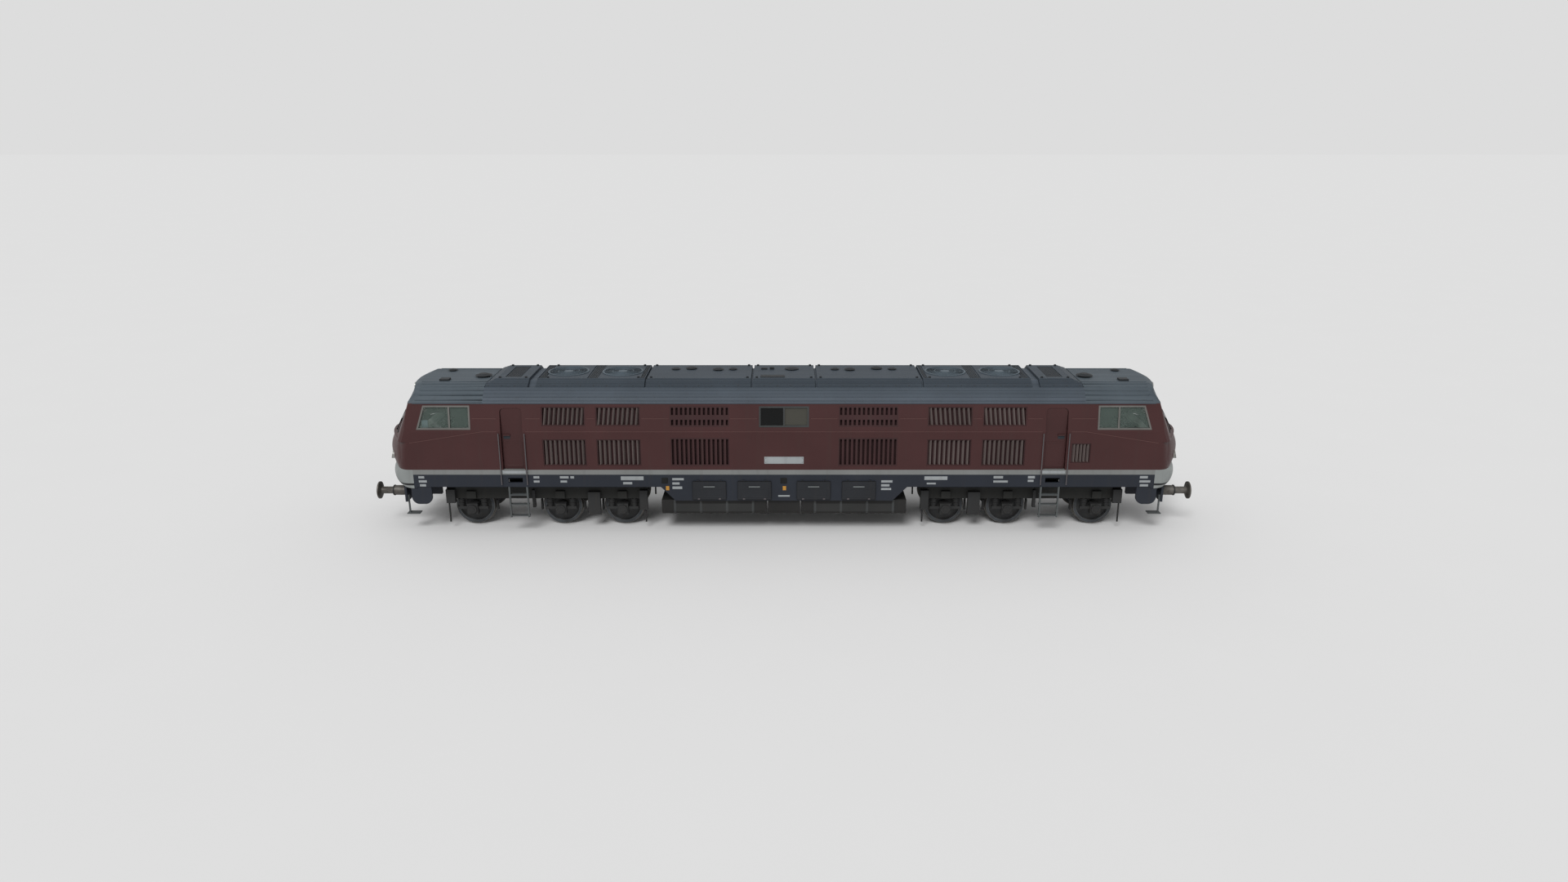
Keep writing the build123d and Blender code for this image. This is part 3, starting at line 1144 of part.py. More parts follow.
def seat():
    x, y = SEAT_X, -SEAT_Y
    post = rod_z(SEAT_POST_R, FLOOR_Z, SEAT_Z, x, y)
    pad = block(x - SEAT_HALF, x + SEAT_HALF, y - SEAT_HALF, y + SEAT_HALF, SEAT_Z, SEAT_Z + SEAT_PAD)
    back = block(x - SEAT_HALF - SEAT_BACK, x - SEAT_HALF, y - SEAT_HALF, y + SEAT_HALF,
                 SEAT_Z, SEAT_Z + SEAT_PAD + SEAT_BACK_H)
    return joined([post, pad, back])


engine = block(*ENGINE_X, -ENGINE_HALF, ENGINE_HALF, FLOOR_Z, ENGINE_HEAD)
NODES["engines"] = loose(at_ends(engine))
NODES["bulkheads"] = loose(at_ends(bulkhead()))
NODES["cab_desks"] = loose(at_ends(desk()))
NODES["cab_seats"] = loose(at_corners(seat()))


# Caps, vents and horns on the roof
def cap(x, y, r, foot, height):
    stem = rod_z(r * CAP_STEM, foot, foot + height / 2, x, y)
    return stem + Pos(x, y, foot + height * 0.75) * Cone(r, r * CAP_RIM, height / 2)


def vent_box(x, y, length, width, foot, height):
    return block(x - length / 2, x + length / 2, y - width / 2, y + width / 2, foot, foot + height)


fittings = [cap(*MIDDLE_CAP)] + [vent_box(*row) for row in MIDDLE_BOXES]
for row in CAPS:
    fittings.extend(at_ends(cap(*row)))
for row in VENT_BOXES:
    fittings.extend(at_ends(vent_box(*row)))
NODES["roof_fittings"] = loose(fittings)


os.makedirs("parts", exist_ok=True)
for node, shape in NODES.items():
    export_step(shape, "parts/%s.step" % node)
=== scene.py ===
# %% [markdown]
# # A diesel locomotive, dressed in Blender
# The solids come ready made from CAD, in metres and in place. This lesson adds what a modeller adds by
# hand: paint, glass, springs, plates and bolts.

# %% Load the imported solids
import bpy
import bmesh
import math
from mathutils import Matrix, Vector


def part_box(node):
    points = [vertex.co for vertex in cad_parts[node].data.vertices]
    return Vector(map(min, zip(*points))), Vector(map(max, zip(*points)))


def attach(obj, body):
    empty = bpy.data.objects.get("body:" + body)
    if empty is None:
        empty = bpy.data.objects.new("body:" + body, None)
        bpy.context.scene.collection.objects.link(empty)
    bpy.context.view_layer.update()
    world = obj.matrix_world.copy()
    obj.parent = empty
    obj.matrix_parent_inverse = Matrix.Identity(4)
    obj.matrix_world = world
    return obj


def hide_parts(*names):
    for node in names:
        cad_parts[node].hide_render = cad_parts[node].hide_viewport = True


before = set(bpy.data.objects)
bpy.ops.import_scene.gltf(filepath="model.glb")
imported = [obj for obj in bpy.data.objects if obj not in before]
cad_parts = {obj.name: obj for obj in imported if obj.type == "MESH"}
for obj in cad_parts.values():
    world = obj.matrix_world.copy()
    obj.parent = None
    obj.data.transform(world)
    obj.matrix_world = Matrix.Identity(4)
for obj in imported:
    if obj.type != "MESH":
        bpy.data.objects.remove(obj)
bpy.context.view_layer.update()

# %% [markdown]
# ## Camera
# The picture was taken from the side, 17 degrees up. A camera could be set by eye, but the same lens at
# the same place gives the same perspective.

# %% Camera
LENS = 24.44
SENSOR = 36.0
CAMERA_TILT = 17.0
CAMERA_PLACE = (0.0, -29.36, 11.21)

camera = bpy.data.cameras.new("camera")
camera.lens = LENS
camera.sensor_width = SENSOR
eye = bpy.data.objects.new("camera", camera)
eye.location = CAMERA_PLACE
eye.rotation_euler = (math.radians(90 - CAMERA_TILT), 0, 0)
bpy.context.collection.objects.link(eye)
bpy.context.scene.camera = eye
print("camera at", CAMERA_PLACE)

# %% [markdown]
# ## Sky, sun and floor
# Lamps would light a long side unevenly, so a pale sky and a broad sun do it. To the camera, in
# reflections and through glass the sky is a flat grey.

# %% Sky, sun and floor
BACKDROP = (0.723, 0.723, 0.723, 1)
SKY_COLOUR = (1, 1, 1, 1)
SKY_STRENGTH = 0.58
SUN_STRENGTH = 1.7
SUN_SPREAD = 25
SUN_TILT = (42, -16, 0)
FLOOR_SIZE = 600

scene = bpy.context.scene
scene.view_settings.view_transform = "Standard"
world = bpy.data.worlds.new("studio")
scene.world = world
world.use_nodes = True
sky = world.node_tree.nodes
sky_links = world.node_tree.links
glow = sky["Background"]
glow.inputs["Color"].default_value = SKY_COLOUR
glow.inputs["Strength"].default_value = SKY_STRENGTH
backdrop = sky.new("ShaderNodeBackground")
backdrop.inputs["Color"].default_value = BACKDROP
rays = sky.new("ShaderNodeLightPath")
seen = rays.outputs["Is Camera Ray"]
for kind in ("Is Glossy Ray", "Is Transmission Ray"):
    either = sky.new("ShaderNodeMath")
    either.operation = "MAXIMUM"
    sky_links.new(seen, either.inputs[0])
    sky_links.new(rays.outputs[kind], either.inputs[1])
    seen = either.outputs[0]
pick_sky = sky.new("ShaderNodeMixShader")
for number, source in enumerate((seen, glow.outputs[0], backdrop.outputs[0])):
    sky_links.new(source, pick_sky.inputs[number])
sky_links.new(pick_sky.outputs[0], sky["World Output"].inputs[0])

sun = bpy.data.lights.new("sun", "SUN")
sun.energy = SUN_STRENGTH
sun.angle = math.radians(SUN_SPREAD)
sun_lamp = bpy.data.objects.new("sun", sun)
sun_lamp.rotation_euler = [math.radians(tilt) for tilt in SUN_TILT]
bpy.context.collection.objects.link(sun_lamp)

bpy.ops.object.select_all(action="DESELECT")
bpy.ops.mesh.primitive_plane_add(size=FLOOR_SIZE)
floor = bpy.context.object
floor.name = "floor"
print("studio ready")

# %% [markdown]
# ## Colours and nodes
# Colours are written from 0 to 255 and turned into linear light. A finish could be wired by hand; a
# class that adds a node per call keeps it short.

# %% Node helpers
MIX_A, MIX_B, MIX_RESULT = 6, 7, 2  # colour sockets of the Mix node


def colour(r, g, b):
    linear = []
    for value in (r, g, b):
        share = value / 255
        linear.append(share / 12.92 if share <= 0.04045 else ((share + 0.055) / 1.055) ** 2.4)
    return (*linear, 1)


class Finish:
    def __init__(self, name, shine=0.22):
        self.material = bpy.data.materials.new(name)
        self.material.use_nodes = True
        self.nodes = self.material.node_tree.nodes
        self.links = self.material.node_tree.links
        self.shader = self.nodes["Principled BSDF"]
        self.shader.inputs["Specular IOR Level"].default_value = shine
        self.place = self.nodes.new("ShaderNodeTexCoord").outputs["Object"]
        split = self.nodes.new("ShaderNodeSeparateXYZ")
        self.links.new(self.place, split.inputs[0])
        self.x, self.y, self.z = split.outputs

    def feed(self, socket, value):
        if isinstance(value, bpy.types.NodeSocket):
            self.links.new(value, socket)
        else:
            socket.default_value = value[:3] if socket.type == "VECTOR" else value

    def show(self, quality, value):
        self.feed(self.shader.inputs[quality], value)

    def math(self, kind, a, b=0.0):
        node = self.nodes.new("ShaderNodeMath")
        node.operation = kind
        self.feed(node.inputs[0], a)
        self.feed(node.inputs[1], b)
        return node.outputs[0]

    def size(self, value):
        return self.math("ABSOLUTE", value)

    def over(self, value, limit):
        return self.math("GREATER_THAN", value, limit)

    def under(self, value, limit):
        return self.math("LESS_THAN", value, limit)

    def ramp(self, value, low, high, to_low=0.0, to_high=1.0):
        node = self.nodes.new("ShaderNodeMapRange")
        for slot, number in zip(node.inputs, (value, low, high, to_low, to_high)):
            self.feed(slot, number)
        return node.outputs[0]

    def mix(self, share, a, b):
        node = self.nodes.new("ShaderNodeMix")
        node.data_type = "RGBA"
        self.feed(node.inputs[0], share)
        self.feed(node.inputs[MIX_A], a)
        self.feed(node.inputs[MIX_B], b)
        return node.outputs[MIX_RESULT]

    def noise(self, scale, stretch=(1, 1, 1), detail=4.0):
        turn = self.nodes.new("ShaderNodeMapping")
        turn.inputs["Scale"].default_value = stretch
        node = self.nodes.new("ShaderNodeTexNoise")
        node.inputs["Scale"].default_value = scale
        node.inputs["Detail"].default_value = detail
        self.links.new(self.place, turn.inputs[0])
        self.links.new(turn.outputs[0], node.inputs["Vector"])
        return node.outputs["Fac"]

    def both(self, *shares):
        total = shares[0]
        for share in shares[1:]:
            total = self.math("MULTIPLY", total, share)
        return total

    def between(self, value, low, high):
        return self.both(self.over(value, low), self.under(value, high))

    def window(self, x0, x1, z0, z1):
        return self.both(self.between(self.size(self.x), x0, x1), self.between(self.z, z0, z1))

    def windows(self, rows):
        share = 0.0
        for row in rows:
            share = self.math("MAXIMUM", share, self.window(*row))
        return share

    def bump(self, height, strength, distance):
        node = self.nodes.new("ShaderNodeBump")
        node.inputs["Strength"].default_value = strength
        node.inputs["Distance"].default_value = distance
        self.links.new(height, node.inputs["Height"])
        self.links.new(node.outputs[0], self.shader.inputs["Normal"])


print("node helpers ready")

# %% [markdown]
# ## Wear of paint
# Paint fades in patches, gets streaks from rain and gathers dirt low down. An image could show it, but
# noise in object coordinates needs no unwrapping.

# %% Worn paint
DIRT = colour(58, 53, 48)


class Paint(Finish):
    def wear(self, base, fade=0.16, dirt=0.25, gloss=0.42, dirt_top=1.6):
        slow = self.ramp(self.noise(0.9, detail=5), 0.3, 0.7, 1 - fade, 1 + fade)
        tinted = self.nodes.new("ShaderNodeVectorMath")
        tinted.operation = "SCALE"
        self.feed(tinted.inputs[0], base)
        self.feed(tinted.inputs["Scale"], slow)
        streak = self.noise(2.2, stretch=(3.5, 3.5, 0.22), detail=6)
        streak = self.ramp(streak, 0.52, 0.78, 0, dirt)
        low = self.ramp(self.z, dirt_top, 0.3, 0, dirt)
        share = self.math("MAXIMUM", streak, self.math("MULTIPLY", low, self.noise(3.0)))
        self.show("Base Color", self.mix(share, tinted.outputs[0], DIRT))
        grain = self.noise(55, detail=3)
        self.show("Roughness", self.ramp(grain, 0.25, 0.75, gloss - 0.1, gloss + 0.12))
        self.bump(grain, 0.08, 0.002)
        return self.material


print("wear ready")

# %% [markdown]
# ## Paint of the body
# The wall is dark red over a light stripe and a slate skirt. The colours meet on straight lines, so
# height decides and no face is split. At the fronts the stripe widens to an apron with a painted shade
# band at its lip. The inner face, told by its depth, is pale green; door jambs stay red.

# %% Body paints
RED = colour(65, 38, 38)
STRIPE = colour(119, 121, 120)
APRON = colour(130, 134, 133)
SLATE = colour(37, 41, 49)
# a dark band of painted shade at the lip of each front
LIP_SHADE = colour(30, 31, 33)
CAB_GREEN = colour(146, 158, 148)
SILL_Z = 1.87
STRIPE_Z = 1.73
BELT_Z = 2.95
EAVE_Z = 3.74
HALF_WIDTH = 1.53
EAVE_LEAN = 0.10
APRON_X = 10.24
LIP_SHADE_Z = (1.415, 1.475)
INNER_DEPTH = 0.069
JAMB_X = (7.0, 7.9)


def wall_y(z):
    return HALF_WIDTH - EAVE_LEAN * max(0.0, z - BELT_Z) / (EAVE_Z - BELT_Z)


def body_paint(name, front):
    paint = Paint(name)
    along = paint.size(paint.x)
    base = paint.mix(paint.over(paint.z, SILL_Z), STRIPE, RED)
    base = paint.mix(paint.under(paint.z, STRIPE_Z), base, SLATE)
    if front:
        far = paint.over(along, APRON_X)
        base = paint.mix(paint.both(far, paint.under(paint.z, SILL_Z)), base, APRON)
        # the dark band at the lip is painted shade
        base = paint.mix(paint.both(far, paint.between(paint.z, *LIP_SHADE_Z)), base, LIP_SHADE)
    else:
        outline = paint.ramp(paint.z, BELT_Z, EAVE_Z, HALF_WIDTH, HALF_WIDTH - EAVE_LEAN)
        depth = paint.math("SUBTRACT", outline, paint.size(paint.y))
        inner = paint.both(paint.over(depth, INNER_DEPTH), paint.over(paint.z, SILL_Z))
        off_jamb = paint.math("SUBTRACT", 1.0, paint.between(along, *JAMB_X))
        base = paint.mix(paint.both(inner, off_jamb), base, CAB_GREEN)
    return paint.wear(base, fade=0.08, dirt=0.14, gloss=0.42)


BODY_PAINT = body_paint("body_paint", False)
FRONT_PAINT = body_paint("front_paint", True)
DOOR_PAINT = Paint("door_paint").wear(colour(64, 38, 38), fade=0.08, dirt=0.14, gloss=0.42)
print("body paints:", BODY_PAINT.name, FRONT_PAINT.name, DOOR_PAINT.name)

# %% [markdown]
# ## Louvres and slots
# Louvres are red frames with grey slats, slot panels are all red. They are one solid on each side, so
# the paint turns grey inside the frames.

# %% Louvre paint
LOUVRE_X = ((3.92, 5.13), (5.42, 6.61))
LOUVRE_Z = ((3.12, 3.64), (1.99, 2.745))
SMALL_LOUVRE = ((7.875, 8.41), (2.07, 2.63))
RIM = 0.028
LOUVRES = [(x, z) for x in LOUVRE_X for z in LOUVRE_Z] + [SMALL_LOUVRE]

louvre = Paint("louvre_paint")
inside = louvre.windows([(x0 + RIM, x1 - RIM, z0 + RIM, z1 - RIM) for (x0, x1), (z0, z1) in LOUVRES])
slats = louvre.mix(inside, colour(58, 36, 37), colour(92, 82, 80))
LOUVRE_PAINT = louvre.wear(slats, fade=0.14, dirt=0.3, gloss=0.5)
print("louvre paint ready")

# %% [markdown]
# ## Other paints and rubber
# The roof is dusty blue-grey with faint bands of painted shade, the chassis near black. Most paints
# differ only in colour, fading, dirt and gloss, so one line each will do.


# %% Painted finishes
def painted(name, base, fade=0.14, dirt=0.25, gloss=0.5, dirt_top=1.6):
    return Paint(name).wear(base, fade, dirt, gloss, dirt_top)


def roof_paint(name, base, painted_shade):
    roof = Paint(name)
    # the second colour is painted shade, laid in faint bands along the roof
    shade_stripes = roof.noise(1.0, stretch=(0.05, 9.0, 9.0), detail=3)
    shade = roof.mix(roof.ramp(shade_stripes, 0.4, 0.6), base, painted_shade)
    return roof.wear(shade, fade=0.08, dirt=0.12, gloss=0.6)


# each roof paint's second colour is its painted shade for the bands
ROOF_PAINT = roof_paint("roof_paint", colour(72, 80, 89), colour(65, 73, 81))
HATCH_PAINT = roof_paint("hatch_paint", colour(60, 68, 76), colour(54, 62, 70))
CAB_ROOF_PAINT = roof_paint("cab_roof_paint", colour(76, 85, 92), colour(69, 78, 85))
GRILLE_PAINT = painted("grille_paint", colour(80, 91, 99), gloss=0.55)
# dark for the roof slats, and painted shade in the door cups
VENT_AND_HOLLOW_SHADE = painted("vent_and_hollow_shade", colour(44, 49, 54), dirt=0.15, gloss=0.6)
SCREEN_DARK = painted("screen_dark", colour(46, 27, 28), dirt=0.1, gloss=0.8)
SKIRT_PAINT = painted("skirt_paint", SLATE, dirt=0.2, gloss=0.5)
CHASSIS_PAINT = painted("chassis_paint", colour(37, 38, 37), dirt=0.3, gloss=0.7)
GEAR_PAINT = painted("gear_paint", colour(43, 44, 45), dirt=0.35, gloss=0.65)
FITTING_PAINT = painted("fitting_paint", colour(40, 43, 46), gloss=0.6)
ENGINE_PAINT = painted("engine_paint", colour(60, 64, 64), gloss=0.5)
CAB_PAINT = painted("cab_paint", CAB_GREEN, dirt=0.08, gloss=0.5)
RAIL_PAINT = painted("rail_paint", colour(86, 82, 84), dirt=0.12, gloss=0.45)
STEP_PAINT = painted("step_paint", colour(80, 84, 85), dirt=0.3, gloss=0.6)
PLATE_PAINT = painted("plate_paint", colour(146, 150, 152), fade=0.1, dirt=0.2, gloss=0.5, dirt_top=0.5)
TAG_PAINT = painted("tag_paint", colour(176, 128, 56), fade=0.1, dirt=0.12, gloss=0.45, dirt_top=0.5)
RUBBER = painted("rubber", colour(24, 24, 24), dirt=0.15, gloss=0.75)
print("painted finishes ready")

# %% [markdown]
# ## Lids and tanks
# A lid has a painted shadow round its edge and a pale grip, a tank straps and a cover. They are parts
# of the solids, so the paint finds them by their places.

# %% Lid and tank paints
# inside these bounds a lid keeps its colour; the strip round them is painted shadow
LID_FIELD_X = ((0.368, 1.272), (1.618, 2.522))
LID_FIELD_Z = (1.018, 1.528)
GRIP_Y = 1.573
TANK_COVER = (0.86, 3.05, 0.62, 0.86)  # x low, x high, z low, z high
STRAP_X = (0.864, 1.591, 2.319, 3.046)
STRAP_HALF = 0.032
STRAP_Z = (0.45, 1.0)

lid = Paint("lid_paint")
# the outer strip of each lid is painted dark as the shadow round it
inside_rim_shadow = lid.windows([(*x, *LID_FIELD_Z) for x in LID_FIELD_X])
lid_and_rim_shadow = lid.mix(inside_rim_shadow, colour(22, 23, 26), colour(36, 38, 42))
grip = lid.over(lid.size(lid.y), GRIP_Y)
LID_PAINT = lid.wear(lid.mix(grip, lid_and_rim_shadow, colour(104, 108, 109)), dirt=0.15, gloss=0.5)
tank = Paint("tank_paint")
tank_base = tank.mix(tank.window(*TANK_COVER), colour(34, 34, 34), colour(44, 45, 45))
strap = tank.windows([(x - STRAP_HALF, x + STRAP_HALF, *STRAP_Z) for x in STRAP_X])
TANK_PAINT = tank.wear(tank.mix(strap, tank_base, colour(60, 62, 63)), dirt=0.25, gloss=0.6)
print("lid and tank paints ready")

# %% [markdown]
# ## Window frames and bare metal
# Engine-room frames are darker. Buffers, bolts and lamp cases are bare; plain metal would look new, so
# noise mixes in dull dirt.

# %% Frames and bare metal
ENGINE_ROOM_X = 1.0

sash = Paint("sash_paint")
engine_room = sash.under(sash.size(sash.x), ENGINE_ROOM_X)
sash_base = sash.mix(engine_room, colour(102, 101, 98), colour(58, 60, 60))
SASH_PAINT = sash.wear(sash_base, dirt=0.18, gloss=0.42)


def bare_steel(name, base, gloss, shine=0.4):
    steel = Finish(name, shine)
    patch = steel.ramp(steel.noise(6.0, detail=6), 0.35, 0.7)
    steel.show("Base Color", steel.mix(patch, base, DIRT))
    steel.show("Metallic", steel.ramp(patch, 0, 1, 0.7, 0.2))
    steel.show("Roughness", steel.ramp(patch, 0, 1, gloss, gloss + 0.25))
    steel.bump(steel.noise(80, detail=2), 0.1, 0.001)
    return steel.material


BUFFER_STEEL = bare_steel("buffer_steel", colour(104, 101, 97), 0.5)
LAMP_CHROME = bare_steel("lamp_chrome", colour(176, 176, 172), 0.25)
BOLT_STEEL = bare_steel("bolt_steel", colour(74, 74, 74), 0.5)
print("frames and bare metal ready")

# %% [markdown]
# ## Glass
# Refracting glass would leave the cab dark, so panes are tinted sheets with partial cover. Those of the
# engine room cover nearly all.

# %% Window and lamp glass
ENGINE_PANE_X = 0.8
ENGINE_PANE_COVER = 0.93
GLASS_IOR = 1.45


def window_glass(name, tint, cover):
    glass = Finish(name, shine=0.2)
    haze = glass.noise(4.0, detail=5)
    middle = glass.under(glass.size(glass.x), ENGINE_PANE_X)
    olive = glass.both(middle, glass.under(glass.math("MULTIPLY", glass.x, glass.y), 0.0))
    base = glass.mix(glass.ramp(haze, 0.4, 0.8, 0, 0.15), tint, DIRT)
    base = glass.mix(middle, base, colour(16, 17, 17))
    glass.show("Base Color", glass.mix(olive, base, colour(70, 69, 63)))
    glass.show("Roughness", glass.ramp(haze, 0.3, 0.8, 0.03, 0.14))
    veil = glass.ramp(haze, 0.3, 0.8, cover, cover + 0.05)
    glass.show("Alpha", glass.ramp(middle, 0, 1, veil, ENGINE_PANE_COVER))
    glass.show("IOR", GLASS_IOR)
    return glass.material


CAB_GLASS = window_glass("cab_glass", colour(104, 118, 112), 0.28)
LENS_GLASS = window_glass("lens_glass", colour(190, 190, 176), 0.55)
print("glass ready")

# %% [markdown]
# ## Wheels
# A wheel is bright only where it runs. Faces could be picked, but the distance from the axle tells it,
# so each axle has its own finish.

# %% Wheel finish
AXLE_Z = 0.578
TYRE_R = 0.460
TREAD_R = 0.535
TYRE_LINE = (TYRE_R - 0.004, TYRE_R + 0.012)


def wheel_finish(name, axle_x):
    wheel = Finish(name, shine=0.3)
    away = wheel.math("SUBTRACT", wheel.x, axle_x)
    rise = wheel.math("SUBTRACT", wheel.z, AXLE_Z)
    square = wheel.math("ADD", wheel.both(away, away), wheel.both(rise, rise))
    radius = wheel.math("SQRT", square)
    tread = wheel.over(radius, TREAD_R)
    patch = wheel.noise(9.0, detail=5)
    base = wheel.mix(wheel.over(radius, TYRE_R), colour(52, 53, 54), colour(64, 68, 72))
    base = wheel.mix(wheel.between(radius, *TYRE_LINE), base, colour(90, 92, 94))
    base = wheel.mix(tread, base, colour(104, 102, 98))
    wheel.show("Base Color", wheel.mix(wheel.ramp(patch, 0.45, 0.75, 0, 0.5), base, DIRT))
    wheel.show("Metallic", wheel.ramp(tread, 0, 1, 0.1, 0.75))
    wheel.show("Roughness", wheel.ramp(patch, 0.3, 0.7, 0.45, 0.65))
    wheel.bump(wheel.noise(60, detail=2), 0.1, 0.002)
    return wheel.material


print("wheel finish ready")

# %% [markdown]
# ## Dressing the solids
# A solid gets its finish by the first words of its name, which is shorter than a list of all sixty.

# %% Finishes on the solids
SOLID_FINISHES = (
    ("side_wall", BODY_PAINT), ("cab_door", DOOR_PAINT), ("nose", FRONT_PAINT),
    ("cab_roof", CAB_ROOF_PAINT), ("roof_shoulders", ROOF_PAINT), ("engine_hatch", HATCH_PAINT),
    ("fan_hatch", HATCH_PAINT), ("intake_hatch", HATCH_PAINT), ("middle_hatch", HATCH_PAINT),
    ("fan_", GRILLE_PAINT), ("louvres", LOUVRE_PAINT), ("window_frames", SASH_PAINT),
    ("glazing", CAB_GLASS), ("lamps", LAMP_CHROME), ("handrails", RAIL_PAINT), ("ladders", STEP_PAINT),
    ("skirt", SKIRT_PAINT), ("locker_lid", LID_PAINT), ("tanks", TANK_PAINT), ("buffers", BUFFER_STEEL),
    ("draw_hooks", GEAR_PAINT), ("end_steps", STEP_PAINT), ("bogie_frame", CHASSIS_PAINT),
    ("running_gear", GEAR_PAINT), ("engines", ENGINE_PAINT), ("bulkheads", CAB_PAINT),
    ("cab_desks", CAB_PAINT), ("cab_seats", FITTING_PAINT), ("roof_fittings", FITTING_PAINT),
    ("underframe", SKIRT_PAINT),
)


def dress(solid, material):
    solid.data.materials.clear()
    solid.data.materials.append(material)


for name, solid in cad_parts.items():
    if name.startswith("wheelset"):
        low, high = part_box(name)
        dress(solid, wheel_finish("wheel_" + name[-2:], (low.x + high.x) / 2))
        continue
    for start, material in SOLID_FINISHES:
        if name.startswith(start):
            dress(solid, material)
            break
print("dressed", len(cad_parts), "solids")

# %% [markdown]
# ## Floor finish
# The floor is as pale as the backdrop. One grey would look empty, so noise mixes two close ones.

# %% Floor finish
FLOOR_SHADES = ((0.760, 0.760, 0.760, 1), (0.772, 0.772, 0.772, 1))

pale = Finish("floor_pale", shine=0.0)
pale.show("Base Color", pale.mix(pale.noise(0.4), *FLOOR_SHADES))
pale.show("Roughness", 1.0)
floor.data.materials.append(pale.material)
print("floor ready")

# %% [markdown]
# ## Picking faces
# Face numbers change with every cut, so faces are picked by where they lie or point, as a modeller
# would click them.

# %% Picking faces
STEEP = 0.9  # a face points one way if this much of its normal does


def up(at, out):
    return out.z > STEEP


def outward(at, out):
    return out.y < -STEEP


def clear():
    if bpy.context.mode != "OBJECT":
        bpy.ops.object.mode_set(mode="OBJECT")
    bpy.ops.object.select_all(action="DESELECT")


def take(piece):
    clear()
    piece.select_set(True)
    bpy.context.view_layer.objects.active = piece


def pick(piece, test):
    if bpy.context.mode == "OBJECT":
        take(piece)
        bpy.ops.object.mode_set(mode="EDIT")
    bpy.ops.mesh.select_mode(type="FACE")
    bpy.ops.mesh.select_all(action="DESELECT")
    shape = bmesh.from_edit_mesh(piece.data)
    for face in shape.faces:
        face.select_set(test(face.calc_center_median(), face.normal))
    shape.select_flush_mode()
    bmesh.update_edit_mesh(piece.data)


print("picking helpers ready")

# %% [markdown]
# ## Starting and pressing
# A piece starts as a box or a rod with its size applied. Most parts are pressed sheet: a face is inset,
# which leaves a rim, and its middle is pulled in or out.


# %% Starting and pressing
def settle(name):
    piece = bpy.context.object
    piece.name = name
    bpy.ops.object.transform_apply(location=True, rotation=True, scale=True)
    return piece


def start_box(name, x, y, z):
    clear()
    middle = [(low + high) / 2 for low, high in (x, y, z)]
    bpy.ops.mesh.primitive_cube_add(size=1, location=middle)
    bpy.context.object.scale = [high - low for low, high in (x, y, z)]
    return settle(name)


def start_rod(name, radius, height, corners):
    clear()
    bpy.ops.mesh.primitive_cylinder_add(
        vertices=corners, radius=radius, depth=height, location=(0, 0, height / 2))
    return settle(name)


def pull(x, y, z):
    bpy.ops.mesh.extrude_region_move(TRANSFORM_OT_translate={"value": (x, y, z)})


def shift(x, y, z):
    bpy.ops.transform.translate(value=(x, y, z))


def rim(piece, side, width):
    pick(piece, side)
    bpy.ops.mesh.inset(thickness=width)


def press(piece, side, width, way):
    rim(piece, side, width)
    pull(*way)
    clear()


print("pressing helpers ready")

# %% [markdown]
# ## Copying
# What repeats is modelled once. Array and mirror modifiers suit even rows; these places are uneven, so
# a matrix makes each copy, and a mirrored one has its faces turned round again.

# %% Copying helpers
SMOOTH_ANGLE = math.radians(35)
QUARTER = math.pi / 2
FACING = {
    "z": Matrix(),
    "-y": Matrix.Rotation(QUARTER, 4, "X"),
    "+x": Matrix.Rotation(QUARTER, 4, "Y"),
}
HERE = Matrix()
FLIP_X = Matrix.Diagonal((-1, 1, 1, 1))
FLIP_Y = Matrix.Diagonal((1, -1, 1, 1))
TURN = FLIP_X @ FLIP_Y
CORNERS = (HERE, FLIP_X, FLIP_Y, TURN)
SIDES = (HERE, TURN)


def spot(x, y, z, facing="z"):
    return Matrix.Translation((x, y, z)) @ FACING[facing]


def spread(turns, matrices):
    return [turn @ matrix for turn in turns for matrix in matrices]


def copy_of(piece, name, matrix):
    clear()
    mesh = piece.data.copy()
    mesh.name = name
    mesh.transform(matrix)
    if matrix.determinant() < 0:
        mesh.flip_normals()
    copied = bpy.data.objects.new(name, mesh)
    bpy.context.collection.objects.link(copied)
    return copied


def join(pieces):
    take(pieces[0])
    for piece in pieces[1:]:
        piece.select_set(True)
    bpy.ops.object.join()
    return pieces[0]


def row_of(piece, name, matrices):
    row = join([copy_of(piece, name, matrix) for matrix in matrices])
    bpy.data.objects.remove(piece)
    row.name = name
    return row


def done(piece, material, body):
    take(piece)
    bpy.ops.object.shade_smooth_by_angle(angle=SMOOTH_ANGLE)
    clear()
    dress(piece, material)
    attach(piece, body)
    return piece


def fit(piece, name, matrices, material):
    return done(row_of(piece, name, matrices), material, "carbody")


print("copying helpers ready")

# %% [markdown]
# ## Filter screens
# Filters block the view into the engine room. Slats would hide woven wire, so each is a thin
# box with a leaning head and a sunk face.

# %% Filter screens
FILTER_THICK = 0.022
FILTERS = (  # part of the name, x, z, y of the face, lean of the head, places
    ("low", (1.20, 6.72), (1.95, 2.83), -1.438, 0.0, CORNERS),
    ("high", (1.20, 6.72), (3.06, 3.69), -1.425, 0.079, CORNERS),
    ("cab", (7.86, 8.43), (2.05, 2.65), -1.438, 0.0, SIDES),
)
for part, x, z, y, lean, places in FILTERS:
    screen = start_box("filter", x, (y, y + FILTER_THICK), z)
    pick(screen, up)
    shift(0, lean, 0)
    press(screen, outward, width=0.03, way=(0, 0.008, 0))
    fit(screen, "filter_screens_" + part, places, SCREEN_DARK)
print("filter screens: 10")

# %% [markdown]
# ## Wire rings on the fan guards
# They keep feet out of a fan. Each could be a torus, but one spin about the shaft makes them all.

# %% Wire rings
RING_RADII = [0.16 + 0.03 * step for step in range(13)]
RING_WIRE = 0.005
RING_CORNERS = 5
RING_Z = 4.313
FAN_X = (-6.08, -4.55, 4.55, 6.08)


